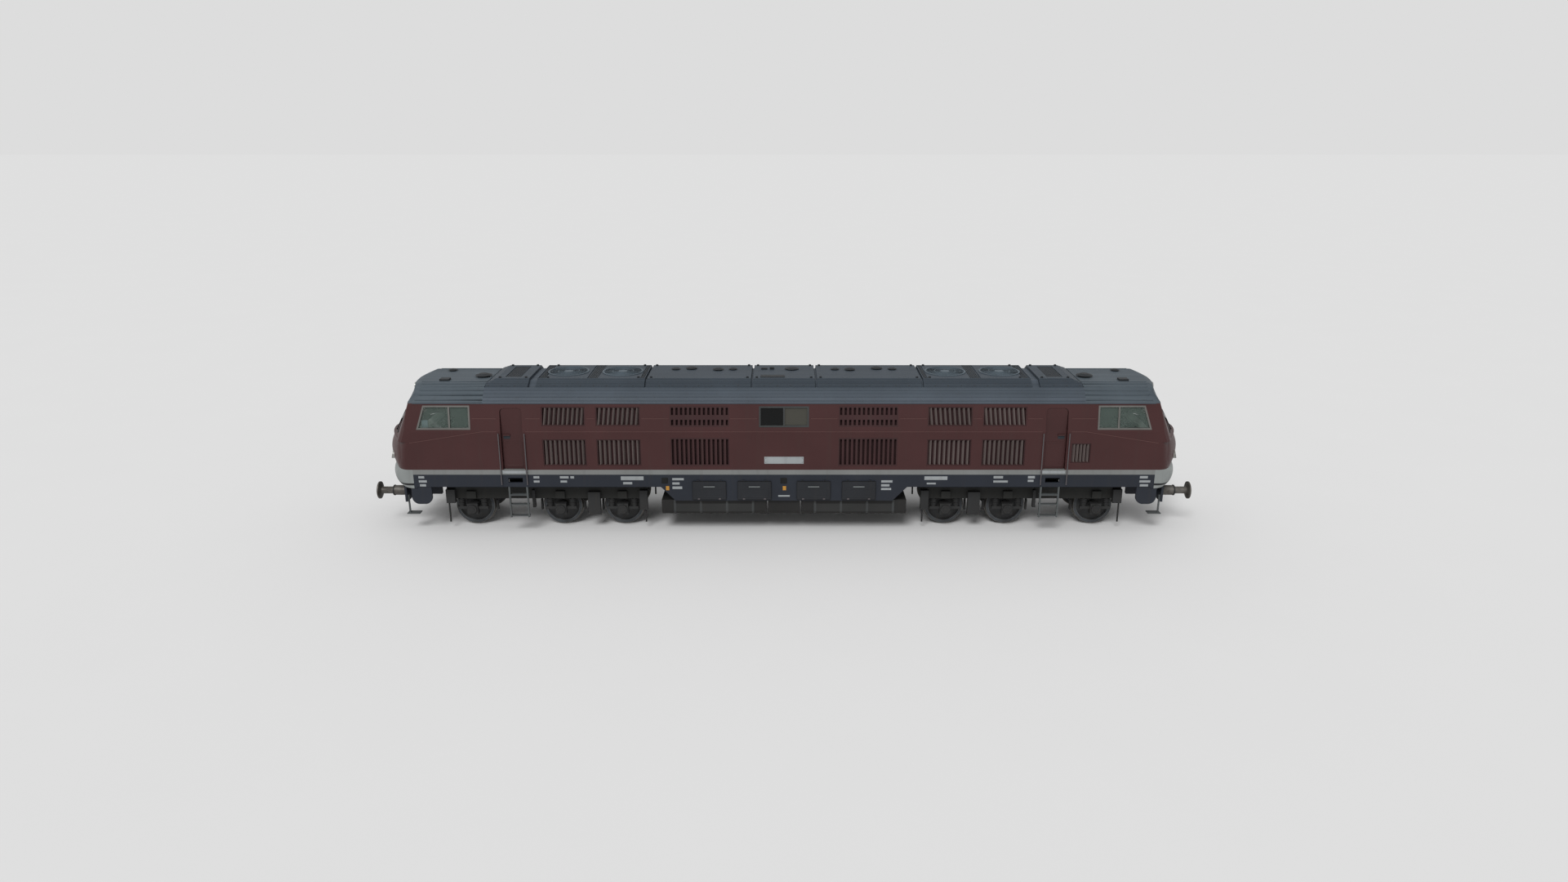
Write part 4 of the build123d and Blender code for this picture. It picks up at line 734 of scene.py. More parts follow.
def draw_wire(radius, corners, x):
    bpy.ops.mesh.primitive_circle_add(
        vertices=corners, radius=radius, location=(x, 0, 0), rotation=(QUARTER, 0, 0))


def face_out():
    bpy.ops.mesh.select_all(action="SELECT")
    bpy.ops.mesh.normals_make_consistent(inside=False)


clear()
draw_wire(RING_WIRE, RING_CORNERS, RING_RADII[0])
rings = settle("ring_master")
bpy.ops.object.mode_set(mode="EDIT")
bpy.ops.mesh.select_mode(type="VERT")
for radius in RING_RADII[1:]:
    draw_wire(RING_WIRE, RING_CORNERS, radius)
bpy.ops.mesh.select_all(action="SELECT")
bpy.ops.mesh.spin(steps=40, angle=2 * math.pi, center=(0, 0, 0), axis=(0, 0, 1))
bpy.ops.mesh.select_all(action="SELECT")
bpy.ops.mesh.remove_doubles(threshold=0.0005)
face_out()
rings = fit(rings, "fan_wire_rings", [spot(x, 0, RING_Z) for x in FAN_X], GRILLE_PAINT)
print("wire rings, faces:", len(rings.data.polygons))

# %% [markdown]
# ## Slats in the roof
# The sunken strips breathe through leaning slats. A turned box would lift its foot, so the top of a bar
# is pushed over.

# %% Roof slats
ENDS = (HERE, FLIP_X)
SLAT_Z = 4.265
INTAKE_X = [7.32 + 0.05 * step for step in range(8)]
STRIP_X = (3.88, 3.92, 5.17, 5.22, 5.27, 5.32, 5.37, 6.62, 6.67, 6.72)
SLATS = (  # name, half thickness, half length, height, lean, places along the roof
    ("intake_slats", 0.010, 0.63, 0.020, 0.014, INTAKE_X),
    ("fan_hatch_slats", 0.009, 0.78, 0.018, 0.012, STRIP_X),
)
for name, thick, reach, height, lean, along in SLATS:
    slat = start_box("slat", (-thick, thick), (-reach, reach), (0, height))
    pick(slat, up)
    shift(lean, 0, 0)
    fit(slat, name, spread(ENDS, [spot(x, 0, SLAT_Z) for x in along]), VENT_AND_HOLLOW_SHADE)
print("roof slats: 36")

# %% [markdown]
# ## Lugs and hatch bolts
# A hatch has lugs for the crane and bolts along its foot, none on a joint. Bump would not show in
# outline: a lug gets a hollow top, a bolt a raised inset.

# %% Lugs and bolts
LUG_X = (0.75, 1.01, 3.67, 4.02, 6.52, 7.12, 7.84)
LUG_Y, LUG_Z = -0.74, 4.288
BOLT_STEPS = [0.18 + 0.36 * step for step in range(23)]
HATCH_JOINTS = ((0.83, 0.93), (3.75, 3.85), (6.78, 7.04))
BOLT_X = [x for x in BOLT_STEPS if not any(low < x < high for low, high in HATCH_JOINTS)]
BOLT_Y, BOLT_Z = -1.051, 4.129
BOLT_CHAMFER = 0.2


def chamfer(piece, side, width, way):
    rim(piece, side, width)
    shift(*way)
    clear()


def hex_bolt(name, radius, height):
    bolt = start_rod(name, radius, height, corners=6)
    chamfer(bolt, up, width=radius * BOLT_CHAMFER, way=(0, 0, height * BOLT_CHAMFER))
    return bolt


lug = start_rod("lug", radius=0.036, height=0.034, corners=14)
press(lug, up, width=0.012, way=(0, 0, -0.02))
places = spread(CORNERS, [spot(x, LUG_Y, LUG_Z) for x in LUG_X])
fit(lug, "lifting_lugs", places, FITTING_PAINT)
bolt = hex_bolt("bolt", radius=0.014, height=0.012)
places = spread(CORNERS, [spot(x, BOLT_Y, BOLT_Z) for x in BOLT_X])
fit(bolt, "hatch_bolts", places, BOLT_STEEL)
print("lugs:", 4 * len(LUG_X), "hatch bolts:", 4 * len(BOLT_X))

# %% [markdown]
# ## Rain gutter
# It keeps rain off the doors. The eave is straight, so no profile is swept: the top of a bar is sunk.

# %% Rain gutter
GUTTER = ((-10.10, 10.10), (-1.448, -1.420), (3.728, 3.746))

gutter = start_box("gutter", *GUTTER)
press(gutter, up, width=0.006, way=(0, 0, -0.010))
fit(gutter, "rain_gutters", (HERE, FLIP_Y), ROOF_PAINT)
print("gutters: 2")

# %% [markdown]
# ## Seam beads
# The side sheets are welded along two lines. Painted lines would not catch the light, so one bead is
# drawn out to each length. The lower line slants down to the ledge.

# %% Seam beads
SEAM_PAINT = painted("seam_paint", colour(90, 62, 60), fade=0.1, dirt=0.12, gloss=0.42)
UPPER_Z = 3.32
LOWER_Z = 2.962
UPPER_SEAM = ((0.73, 1.46), (3.15, 3.88), (5.16, 5.39), (6.65, 7.05), (7.84, 8.50))
LOWER_SEAM = ((0.0, 7.05), (7.84, 8.25))
SLANT = ((8.25, LOWER_Z), (10.36, 2.640))
BEAD = ((0, 1), (-0.006, 0.008), (-0.007, 0.007))

bead = start_box("bead", *BEAD)
rim(bead, outward, width=0.003)
clear()
runs = []
for z, stretches in ((UPPER_Z, UPPER_SEAM), (LOWER_Z, LOWER_SEAM)):
    for x0, x1 in stretches:
        runs.append(Matrix.Translation((x0, -wall_y(z), z)) @ Matrix.Diagonal((x1 - x0, 1, 1, 1)))
(x0, z0), (x1, z1) = SLANT
fall = math.atan2(z0 - z1, x1 - x0)
reach = math.hypot(x1 - x0, z0 - z1)
slope = Matrix.Rotation(fall, 4, "Y") @ Matrix.Diagonal((reach, 1, 1, 1))
runs.append(Matrix.Translation((x0, -HALF_WIDTH, z0)) @ slope)
fit(bead, "seam_beads", spread(CORNERS, runs), SEAM_PAINT)
print("seam beads:", 4 * len(runs))

# %% [markdown]
# ## Number plates
# A blank cast plate with four screws. A casting is one piece, so its face is inset and pushed back, and
# the rim stands.

# %% Number plates
NUMBER_PLATE = ((-0.54, 0.54), (-1.539, -1.528), (2.05, 2.25))
SCREW_X = (-0.50, 0.50)
SCREW_Y = -1.5345
SCREW_Z = (2.09, 2.21)

plate = start_box("plate", *NUMBER_PLATE)
press(plate, outward, width=0.016, way=(0, 0.004, 0))
fit(plate, "number_plates", SIDES, PLATE_PAINT)
screw = hex_bolt("screw", radius=0.009, height=0.004)
places = spread(SIDES, [spot(x, SCREW_Y, z, "-y") for x in SCREW_X for z in SCREW_Z])
fit(screw, "number_plate_screws", places, BOLT_STEEL)
print("number plates: 2, screws: 8")

# %% [markdown]
# ## Marking strips
# Blank strips in rows on the skirt. Paint has no edge, so one chamfered strip is drawn out to each
# size.

# %% Marking strips
STRIPS = (  # x low, x high, z low, z high
    (-10.10, -9.94, 1.620, 1.685), (-10.10, -9.88, 1.500, 1.565), (-10.08, -9.91, 1.385, 1.450),
    (-6.92, -6.76, 1.620, 1.685), (-6.92, -6.76, 1.500, 1.560),
    (-6.19, -5.95, 1.620, 1.685), (-6.18, -6.00, 1.500, 1.560), (-5.90, -5.80, 1.620, 1.685),
    (-4.51, -3.88, 1.570, 1.680), (-4.45, -4.20, 1.447, 1.515),
    (-3.09, -2.77, 1.567, 1.630), (-3.09, -2.89, 1.440, 1.505), (-3.09, -2.82, 1.310, 1.385),
    (-0.16, 0.16, 1.085, 1.130),
    (2.69, 3.00, 1.500, 1.565), (2.69, 2.92, 1.385, 1.450), (2.69, 2.97, 1.280, 1.340),
    (3.88, 4.515, 1.577, 1.680), (3.95, 4.20, 1.447, 1.495),
    (5.79, 6.05, 1.620, 1.690), (5.79, 6.19, 1.500, 1.560),
    (6.74, 6.93, 1.620, 1.690), (6.74, 6.90, 1.520, 1.580),
    (9.83, 10.05, 1.620, 1.690), (9.83, 10.13, 1.500, 1.565), (9.85, 10.08, 1.385, 1.450),
)
STRIP = ((0, 1), (-0.004, 0.003), (0, 1))


def stretched(x0, x1, z0, z1):
    return Matrix.Translation((x0, -HALF_WIDTH, z0)) @ Matrix.Diagonal((x1 - x0, 1, z1 - z0, 1))


strip = start_box("strip", *STRIP)
chamfer(strip, outward, width=0.06, way=(0, -0.001, 0))
places = spread(SIDES, [stretched(*row) for row in STRIPS])
fit(strip, "marking_strips", places, PLATE_PAINT)
print("strips:", 2 * len(STRIPS))

# %% [markdown]
# ## Sockets and tags
# A moulded socket cap is pulled out of an inset face and bevelled. A yellow filler tag is stamped
# sheet, so a chamfer is enough.

# %% Sockets and tags
SOCKET = ((-0.088, 0.088), (-1.542, -1.527), (1.475, 1.638))
SOCKET_X = (-3.297, -0.010)
TAG = ((-0.045, 0.045), (-1.534, -1.527), (1.275, 1.395))
TAG_X = (-3.225, 0.012)


def soften(piece, width, steps=1):
    take(piece)
    rounding = piece.modifiers.new("soften", "BEVEL")
    rounding.width = width
    rounding.segments = steps
    rounding.limit_method = "ANGLE"
    bpy.ops.object.modifier_apply(modifier=rounding.name)


socket = start_box("socket", *SOCKET)
press(socket, outward, width=0.02, way=(0, -0.008, 0))
soften(socket, width=0.004)
fit(socket, "test_sockets", spread(SIDES, [spot(x, 0, 0) for x in SOCKET_X]), RUBBER)
tag = start_box("tag", *TAG)
chamfer(tag, outward, width=0.012, way=(0, -0.002, 0))
fit(tag, "filler_tags", spread(SIDES, [spot(x, 0, 0) for x in TAG_X]), TAG_PAINT)
print("sockets: 4, tags: 4")

# %% [markdown]
# ## Cab doors
# A border stiffens a door and a cup gives room for fingers; the cup is painted dark as the shade in
# its hollow. Solids stay as they are, so thin pressed plates ride on them.

# %% Door pressings
DOOR_FACE = 1.435
DOOR_BACK = -DOOR_FACE + 0.002
BORDER = ((7.185, 7.700), (-DOOR_FACE - 0.006, DOOR_BACK), (1.93, 2.66))
SHADED_CUP = ((7.505, 7.685), (-DOOR_FACE - 0.004, DOOR_BACK), (2.735, 2.822))
DOORS = (("a_right", FLIP_X), ("b_right", HERE), ("a_left", TURN), ("b_left", FLIP_Y))

border = start_box("border", *BORDER)
press(border, outward, width=0.045, way=(0, 0.005, 0))
soften(border, width=0.002)
shaded_cup = start_box("shaded_cup", *SHADED_CUP)
press(shaded_cup, outward, width=0.012, way=(0, 0.003, 0))
# the cups are painted dark as the shade in their hollow
for door, corner in DOORS:
    done(copy_of(border, "door_pressing_" + door, corner), DOOR_PAINT, "cab_door_" + door)
    done(copy_of(shaded_cup, "door_cup_" + door, corner), VENT_AND_HOLLOW_SHADE, "cab_door_" + door)
bpy.data.objects.remove(border)
bpy.data.objects.remove(shaded_cup)
print("door pressings and cups:", len(DOORS))

# %% [markdown]
# ## Thresholds
# Ribbed treads under the doors. Ribs could be loose bars, but here every other column of a face is
# pulled out, so each tread is one piece.

# %% Threshold plates
TREAD_X = (7.12, 7.76)
TREAD_Y, TREAD_Z = (-1.541, -1.527), (1.765, 1.845)
RIB_PITCH = 0.1067


def on_rib(at, out):
    return outward(at, out) and int((at.x - TREAD_X[0]) / RIB_PITCH) % 2 == 0


tread = start_box("tread", TREAD_X, TREAD_Y, TREAD_Z)
pick(tread, outward)
bpy.ops.mesh.subdivide(number_cuts=5)
pick(tread, on_rib)
pull(0, -0.004, 0)
fit(tread, "threshold_plates", CORNERS, PLATE_PAINT)
print("threshold plates: 4")

# %% [markdown]
# ## Windscreen rubbers
# A thick curve could follow a pane, but rubber has flat sides. A sheet on the screen plane gets round
# corners, its middle is cut out and the rest made thick.

# %% Windscreen rubbers
SCREEN_X, SCREEN_Z = 11.07, 2.66  # foot of the screen plane in the middle
SCREEN_RAKE, SCREEN_HEIGHT = 0.61, 1.04
SCREEN_SWEEP = 0.11
RUBBER_WIDTH = 0.035
RUBBER_THICK = 0.012
RUBBER_SUNK = 0.004
PANE = ((0.05, 2.78), (1.113, 2.78), (0.05, 3.59), (1.027, 3.59))  # y and z of the rubber's corners


def screen_x(y, z):
    return SCREEN_X - SCREEN_RAKE * (z - SCREEN_Z) / SCREEN_HEIGHT - SCREEN_SWEEP * abs(y) / HALF_WIDTH


def on_screen(y, z, out):
    return Vector((screen_x(y, z) + out, y, z))


def everything(at, out):
    return True


clear()
bpy.ops.mesh.primitive_plane_add(size=1)
rubber = settle("rubber")
for corner, (y, z) in zip(rubber.data.vertices, PANE):
    corner.co = on_screen(y, z, -RUBBER_SUNK)
pick(rubber, everything)
bpy.ops.mesh.bevel(offset=0.07, segments=3, affect="VERTICES")
rim(rubber, everything, RUBBER_WIDTH)
bpy.ops.mesh.delete(type="FACE")
bpy.ops.mesh.select_all(action="SELECT")
bpy.ops.mesh.solidify(thickness=-RUBBER_THICK)
face_out()
clear()
soften(rubber, width=0.003)
fit(rubber, "screen_rubbers", CORNERS, RUBBER)
print("screen rubbers: 4")

# %% [markdown]
# ## Wipers
# An arm on a spindle with a blade. Boxes could be turned by angles, but it is easier to lay a bar
# between two points of the screen.

# %% Wipers
SPINDLE = (0.50, 2.752)  # y and z, as in the next two
ARM_END = (0.72, 3.13)
BLADE_ENDS = ((0.66, 2.86), (0.78, 3.40))
HUB_SUNK = 0.004
BAR_TAPER = 0.6


def bar_between(name, start, end, width, depth):
    bar = start_box(name, (0, 1), (-width / 2, width / 2), (-depth / 2, depth / 2))
    pick(bar, lambda at, out: out.x > STEEP)
    bpy.ops.transform.resize(value=(1, BAR_TAPER, BAR_TAPER))
    clear()
    along = end - start
    turn = along.to_track_quat("X", "Z").to_matrix().to_4x4()
    bar.data.transform(Matrix.Translation(start) @ turn @ Matrix.Diagonal((along.length, 1, 1, 1)))
    return bar


pivot, tip = on_screen(*SPINDLE, out=0.020), on_screen(*ARM_END, out=0.030)
arm = bar_between("arm", pivot, tip, width=0.016, depth=0.010)
low_end, high_end = [on_screen(*end, out=0.018) for end in BLADE_ENDS]
blade = bar_between("blade", low_end, high_end, width=0.012, depth=0.016)
hub = start_rod("hub", radius=0.022, height=0.030, corners=12)
press(hub, up, width=0.007, way=(0, 0, 0.006))
hub.data.transform(spot(screen_x(*SPINDLE) - HUB_SUNK, *SPINDLE, "+x"))
fit(join([arm, blade, hub]), "wipers", CORNERS, RUBBER)
print("wipers: 4")

# %% [markdown]
# ## Lamp glass
# A domed glass with a firm edge. A slice of a sphere has none, so the face of a rod is inset and pushed
# out twice.

# %% Lamp glass
LAMPS = ((11.0916, 0.90, 2.13, 0.095), (10.46, 0.0, 3.88, 0.085))  # front x, y, z, radius
LENS_SUNK = 0.024
LENS_RIM = 0.35
LENS_RISES = (0.006, 0.003)

for number, (x, y, z, radius) in enumerate(LAMPS):
    glass = start_rod("glass", radius=radius, height=0.010, corners=28)
    pick(glass, up)
    for rise in LENS_RISES:
        bpy.ops.mesh.inset(thickness=radius * LENS_RIM)
        shift(0, 0, rise)
    clear()
    glass.data.transform(spot(x - LENS_SUNK, y, z, "+x"))
    fit(glass, "lamp_glass_%d" % number, CORNERS if y else ENDS, LENS_GLASS)
print("lamp glasses: 6")

# %% [markdown]
# ## Sweeping back the fronts
# The real fronts are rounded in plan, and the solids are fuller at the corners. Their openings are
# right, so they aren't modelled anew: copies are cut into strips and swept back.

# %% Way of a point
SWEEP = (  # height and way back at the side
    (1.33, 0.06), (1.80, 0.07), (2.20, 0.28), (2.66, 0.40), (3.70, 0.13), (3.76, 0.13), (4.00, 0.32),
)
CORNER_X = ((1.33, 10.60), (1.87, 10.75), (2.66, 10.90), (3.70, 10.30), (4.20, 10.20))
FOOT_X = ((3.74, 10.15), (3.95, 9.60))
SIDE_POWER = 1.5
STRIP_WIDTH = 0.15
FIRST_CUT_X = 9.6


def read_off(table, z):
    if z <= table[0][0]:
        return table[0][1]
    for (z0, low), (z1, high) in zip(table, table[1:]):
        if z <= z1:
            return low + (high - low) * (z - z0) / (z1 - z0)
    return table[-1][1]


def way_back(x, y, z):
    foot = read_off(FOOT_X, z)
    along = (x - foot) / (read_off(CORNER_X, z) - foot)
    return read_off(SWEEP, z) * (y / HALF_WIDTH) ** SIDE_POWER * min(1.0, max(0.0, along))


def cut_in_strips(piece):
    cuts = [((0, STRIP_WIDTH * step, 0), (0, 1, 0)) for step in range(-10, 11)]
    for step in range(10):
        cuts += [((way * (FIRST_CUT_X + STRIP_WIDTH * step), 0, 0), (1, 0, 0)) for way in (-1, 1)]
    cuts += [((0, 0, z), (0, 0, 1)) for z, _ in SWEEP]
    pick(piece, everything)
    bpy.ops.mesh.remove_doubles(threshold=0.00005)
    for place, normal in cuts:
        bpy.ops.mesh.select_all(action="SELECT")
        bpy.ops.mesh.bisect(plane_co=place, plane_no=normal)
    clear()


def sweep_back(piece):
    for point in piece.data.vertices:
        x, y, z = point.co
        point.co.x -= math.copysign(way_back(abs(x), abs(y), z), x)


print("side corner at the ledge goes back by", way_back(10.9, HALF_WIDTH, 2.66))

# %% [markdown]
# ## The swept pieces
# Each takes the place of its solid. What is fixed to the fronts is swept by the same function, which is
# simpler than modelling it anew.

# %% Swept pieces
SWEPT = (  # solid, name, finish, slot
    ("nose_a", "cab_front_a", FRONT_PAINT, "body_red"),
    ("nose_b", "cab_front_b", FRONT_PAINT, "body_red"),
    ("cab_roof_a", "cab_crown_a", CAB_ROOF_PAINT, "roof_grey"),
    ("cab_roof_b", "cab_crown_b", CAB_ROOF_PAINT, "roof_grey"),
    ("glazing", "window_panes", CAB_GLASS, "glass"),
    ("lamps", "lamp_cases", LAMP_CHROME, "lamp"),
)
for node, name, material, slot in SWEPT:
    piece = copy_of(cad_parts[node], name, HERE)
    cut_in_strips(piece)
    sweep_back(piece)
    done(piece, material, "carbody")
    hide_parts(node)
    print(name, "faces:", len(piece.data.polygons))
cut_in_strips(bpy.data.objects["screen_rubbers"])
for name in ("screen_rubbers", "wipers", "lamp_glass_0", "seam_beads"):
    sweep_back(bpy.data.objects[name])

# %% [markdown]
# ## Driver's desk
# In front of each seat lie a panel and three gauges, all blank. Through glass one sees relief more than
# a picture, so faces are sunk. One matrix lays them on the slope.

# %% Desk panels and gauges
DESK_RISE, DESK_RUN = 2.76 - 2.48, 10.09 - 9.76
DESK_LEAN = Matrix.Rotation(-math.atan2(DESK_RISE, DESK_RUN), 4, "Y")
DESK_MIDDLE = (9.925, 0.60, 2.622)
DESK_TOP = Matrix.Translation(DESK_MIDDLE) @ DESK_LEAN
GAUGE_Y = (-0.22, -0.04, 0.14)
GAUGE_X, GAUGE_Z = 0.05, 0.012
PANEL = ((-0.15, 0.15), (-0.42, 0.42), (0, 0.020))

panel = start_box("panel", *PANEL)
press(panel, up, width=0.025, way=(0, 0, -0.008))
soften(panel, width=0.003)
fit(panel, "desk_panels", spread(CORNERS, [DESK_TOP]), FITTING_PAINT)
gauge = start_rod("gauge", radius=0.062, height=0.030, corners=20)
press(gauge, up, width=0.012, way=(0, 0, -0.010))
places = spread(CORNERS, [DESK_TOP @ spot(GAUGE_X, y, GAUGE_Z) for y in GAUGE_Y])
fit(gauge, "desk_gauges", places, PLATE_PAINT)
print("desk panels: 4, gauges:", 4 * len(GAUGE_Y))

# %% [markdown]
# ## Levers and cases
# A lever is turned in one, so its knob is no ball: the top of a rod is pulled up, widened and pulled
# again. A pale blue case hangs inside one window of each cab.

# %% Levers and window cases
LEVER_Y = (-0.30, 0.30)
LEVER_X, LEVER_Z = -0.08, 0.010
KNOB = 2.2
CASE = ((9.73, 9.90), (-1.425, -1.385), (2.985, 3.255))
CASE_BLUE = painted("case_blue", colour(128, 148, 156), fade=0.08, dirt=0.06, gloss=0.5)

lever = start_rod("lever", radius=0.014, height=0.11, corners=10)
pick(lever, up)
pull(0, 0, 0.012)
bpy.ops.transform.resize(value=(KNOB, KNOB, 1))
pull(0, 0, 0.040)
places = spread(CORNERS, [DESK_TOP @ spot(LEVER_X, y, LEVER_Z) for y in LEVER_Y])
fit(lever, "desk_levers", places, RUBBER)
case = start_box("case", *CASE)
press(case, up, width=0.006, way=(0, 0, -0.02))
fit(case, "window_cases", (FLIP_X, FLIP_Y), CASE_BLUE)
print("levers:", 4 * len(LEVER_Y), "cases: 2")

# %% [markdown]
# ## Seat foam
# A cloth simulation could stuff a cover, but behind glass a subdivided box with a raised top is enough.

# %% Seat cushions
SEAT_X, SEAT_Y = 9.15, 0.72
PAD = ((8.915, 9.385), (0.485, 0.955), (2.162, 2.262))
BACK = ((8.822, 8.918), (0.495, 0.945), (2.320, 2.912))
CROWN_HALF = 0.1
CROWN_RISE = 0.014
FOAM_LEVELS = 2
LEATHER = painted("seat_cover", colour(38, 36, 34), fade=0.18, dirt=0.1, gloss=0.62)


def cushion(name, x, y, z):
    pad = start_box(name, x, y, z)
    pick(pad, everything)
    bpy.ops.mesh.subdivide(number_cuts=2)
    return pad


def stuff(pad):
    clear()
    foam = pad.modifiers.new("foam", "SUBSURF")
    foam.levels = FOAM_LEVELS
    foam.render_levels = FOAM_LEVELS
    take(pad)
    bpy.ops.object.modifier_apply(modifier=foam.name)
    return pad


seat_pad = cushion("seat_pad", *PAD)
pick(seat_pad, lambda at, out: up(at, out) and abs(at.x - SEAT_X) < CROWN_HALF)
shift(0, 0, CROWN_RISE)
stuff(seat_pad)
seat_back = stuff(cushion("seat_back", *BACK))
print("cushion and back ready")

# %% [markdown]
# ## Seats
# Pan, bracket, post and foot are welded, so they are joined. Stands and foam take the place of the
# plain seat solids.

# %% Seats
PAN = ((8.86, 9.34), (0.50, 0.94), (2.120, 2.168))
BRACKET = ((8.845, 8.885), (0.66, 0.78), (2.13, 2.40))
POST_Z, FOOT_Z = 1.762, 1.758


def down(at, out):
    return out.z < -STEEP


pan = start_box("pan", *PAN)
press(pan, down, width=0.13, way=(0, 0, -0.05))
soften(pan, width=0.008)
bracket = start_box("bracket", *BRACKET)
soften(bracket, width=0.008)
post = start_rod("post", radius=0.06, height=0.36, corners=20)
rim(post, down, width=0.01)
clear()
post.data.transform(spot(SEAT_X, SEAT_Y, POST_Z))
foot = start_rod("foot", radius=0.15, height=0.024, corners=24)
press(foot, up, width=0.05, way=(0, 0, 0.016))
foot.data.transform(spot(SEAT_X, SEAT_Y, FOOT_Z))
stands = fit(join([pan, bracket, post, foot]), "seat_stands", CORNERS, FITTING_PAINT)
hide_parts("cab_seats")
for part, name in ((seat_pad, "seat_cushions"), (seat_back, "seat_backs")):
    soft = fit(part, name, CORNERS, LEATHER)
    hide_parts("cab_seats")
print("seats: 4")

# %% [markdown]
# ## Coil springs
# Two on each axlebox carry the frame. A curve could be set point by point, but the Screw modifier winds
# a circle up in one step. The solid's ribbed column stays as the core.

# %% Coil springs
AXLES = (8.80, 6.30, 4.55)
SPRING_Y = 1.025
SPRING_Z = (0.652, 0.858)
SPRING_WAYS = (-0.32, 0.32)
SPRING_R = 0.084
WIRE_R = 0.013
COILS = 5
COIL_STEPS = 20
BOGIES = (("a", (FLIP_X, TURN)), ("b", (HERE, FLIP_Y)))


def on_bogies(part, name, places, material):
    for end, turns in BOGIES:
        master = copy_of(part, "master", HERE)
        row = row_of(master, name + "_" + end, spread(turns, places))
        done(row, material, "bogie_" + end)
    bpy.data.objects.remove(part)


clear()
draw_wire(WIRE_R, corners=8, x=SPRING_R)
coil = settle("coil")
winding = coil.modifiers.new("winding", "SCREW")
winding.axis = "Z"
winding.steps = COIL_STEPS
winding.render_steps = COIL_STEPS
winding.iterations = COILS
winding.screw_offset = (SPRING_Z[1] - SPRING_Z[0] - 2 * WIRE_R) / COILS
bpy.ops.object.modifier_apply(modifier=winding.name)
pick(coil, everything)
bpy.ops.mesh.remove_doubles(threshold=0.0002)
bpy.ops.mesh.select_all(action="DESELECT")
bpy.ops.mesh.select_mode(type="EDGE")
bpy.ops.mesh.select_non_manifold()
bpy.ops.mesh.edge_face_add()
face_out()
clear()
places = [spot(x + way, -SPRING_Y, SPRING_Z[0] + WIRE_R) for x in AXLES for way in SPRING_WAYS]
on_bogies(coil, "coil_springs", places, GEAR_PAINT)
print("coil springs:", 4 * len(places))

# %% [markdown]
# ## Axlebox covers and pipes
# Nuts ring the raised centre of a cover, and clamps hold the brake pipe. It is straight, so a rod is
# drawn out instead of a curve.

# %% Axlebox covers and pipes
COVER_Y = -1.209
NUT_CIRCLE = 0.106
NUT_ANGLES = [math.radians(60 * step) for step in range(6)]
PIPE_X, PIPE_Y, PIPE_Z = 3.95, -1.100, 1.205
PIPE_LENGTH = 5.40
CLAMP = ((-0.02, 0.02), (-0.030, 0.030), (-0.024, 0.024))
CLAMP_X = (4.2, 5.1, 5.8, 7.0, 7.8, 9.2)

cover = start_rod("cover", radius=0.085, height=0.006, corners=24)
press(cover, up, width=0.03, way=(0, 0, 0.006))
covers = [spot(x, COVER_Y, AXLE_Z, "-y") for x in AXLES]
on_bogies(cover, "axlebox_covers", covers, GEAR_PAINT)
around = [spot(NUT_CIRCLE * math.cos(angle), NUT_CIRCLE * math.sin(angle), 0) for angle in NUT_ANGLES]
nut = hex_bolt("nut", radius=0.013, height=0.010)
on_bogies(nut, "axlebox_nuts", spread(covers, around), BOLT_STEEL)
pipe = start_rod("pipe", radius=0.016, height=1.0, corners=12)
rim(pipe, lambda at, out: abs(out.z) > STEEP, width=0.004)
clear()
run = spot(PIPE_X, PIPE_Y, PIPE_Z, "+x") @ Matrix.Diagonal((1, 1, PIPE_LENGTH, 1))
on_bogies(pipe, "brake_pipes", [run], GEAR_PAINT)
clamp = start_box("clamp", *CLAMP)
press(clamp, outward, width=0.008, way=(0, -0.004, 0))
on_bogies(clamp, "pipe_clamps", [spot(x, PIPE_Y, PIPE_Z) for x in CLAMP_X], GEAR_PAINT)
print("axlebox covers: 12, pipes: 4")

# %% [markdown]
# ## Buffers and tanks
# A buffer housing ends in a flat-sided ring, so a torus won't do: both ends of a rod are inset and
# bridged. Flanges and straps are bolted.

# %% Buffer rings and bolts
BUFFER_Y, BUFFER_Z = -0.875, 1.05
RING_X, FLANGE_X = 11.020, 10.629
FLANGE_WAYS = (-0.14, 0.14)
STRAP_BOLT_Y = -1.461
STRAP_BOLT_Z = (0.58, 0.91)

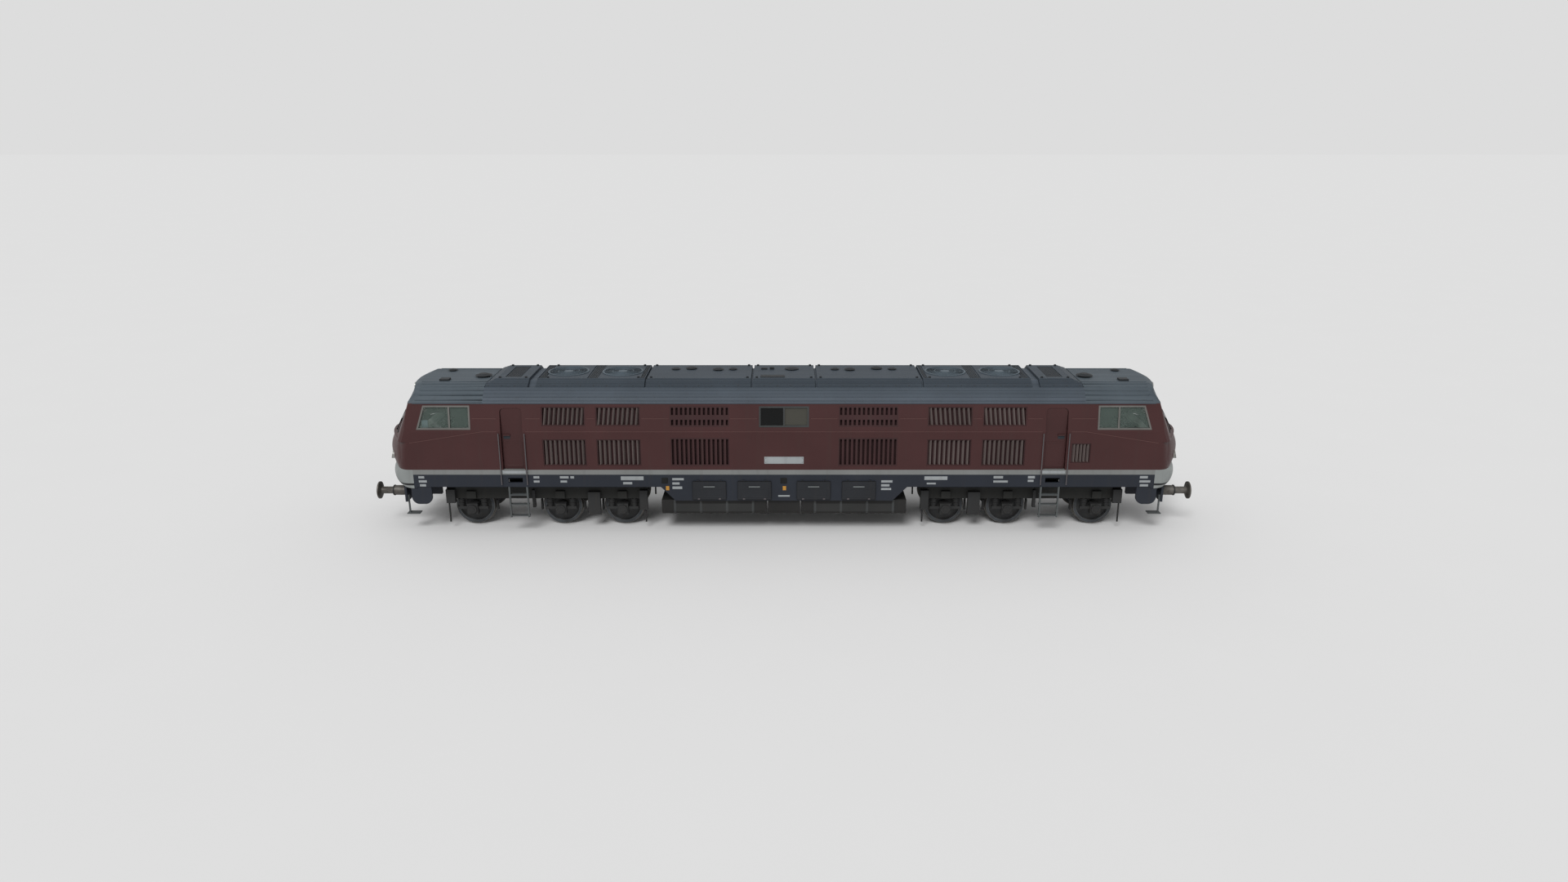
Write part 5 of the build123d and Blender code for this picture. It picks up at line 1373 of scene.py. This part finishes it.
ring = start_rod("ring", radius=0.152, height=0.035, corners=32)
rim(ring, lambda at, out: abs(out.z) > STEEP, width=0.020)
bpy.ops.mesh.bridge_edge_loops()
clear()
soften(ring, width=0.004)
places = spread(CORNERS, [spot(RING_X, BUFFER_Y, BUFFER_Z, "+x")])
fit(ring, "buffer_rings", places, GEAR_PAINT)
flange_bolt = hex_bolt("flange_bolt", radius=0.020, height=0.016)
flange = [spot(FLANGE_X, BUFFER_Y + y, BUFFER_Z + z, "+x") for y in FLANGE_WAYS for z in FLANGE_WAYS]
fit(flange_bolt, "flange_bolts", spread(CORNERS, flange), BOLT_STEEL)
strap_bolt = hex_bolt("strap_bolt", radius=0.016, height=0.012)
straps = [spot(x, STRAP_BOLT_Y, z, "-y") for x in STRAP_X for z in STRAP_BOLT_Z]
fit(strap_bolt, "strap_bolts", spread(CORNERS, straps), BOLT_STEEL)
print("buffer bolts: 16, strap bolts:", 4 * len(straps))

# %% [markdown]
# ## Locker lids
# Pressed sheets with two latches. Solids stay as they are, so plates with a sunk face ride on the lids.

# %% Lid pressings and latches
LID_FACE = 1.565
LID_BACK = -LID_FACE + 0.002
LIDS = ((1, -2.54), (2, -1.29), (3, 0.35), (4, 1.60))  # number along the side, low x
LID_WIDTH = 0.94
PRESSING = ((0.07, LID_WIDTH - 0.07), (-LID_FACE - 0.006, LID_BACK), (1.065, 1.345))
LATCH = ((-0.03, 0.03), (-LID_FACE - 0.012, LID_BACK), (1.012, 1.052))
LATCH_WAYS = (0.18, LID_WIDTH - 0.18)

pressing = start_box("pressing", *PRESSING)
press(pressing, outward, width=0.030, way=(0, 0.005, 0))
soften(pressing, width=0.002)
latch = start_box("latch", *LATCH)
press(latch, outward, width=0.010, way=(0, -0.006, 0))
for side, flip in (("right", HERE), ("left", FLIP_Y)):
    for number, x in LIDS:
        lid_name = "%s_%d" % (side, number)
        body = "locker_lid_" + lid_name
        here = flip @ spot(x, 0, 0)
        done(copy_of(pressing, "lid_pressing_" + lid_name, here), LID_PAINT, body)
        latches = [here @ spot(way, 0, 0) for way in LATCH_WAYS]
        pair = row_of(copy_of(latch, "master", HERE), "lid_latches_" + lid_name, latches)
        done(pair, RAIL_PAINT, body)
bpy.data.objects.remove(pressing)
bpy.data.objects.remove(latch)
print("lid pressings: 8, latches: 16")

# %% [markdown]
# ## Last step
# The script ends in object mode with nothing selected.

# %% Last step
clear()
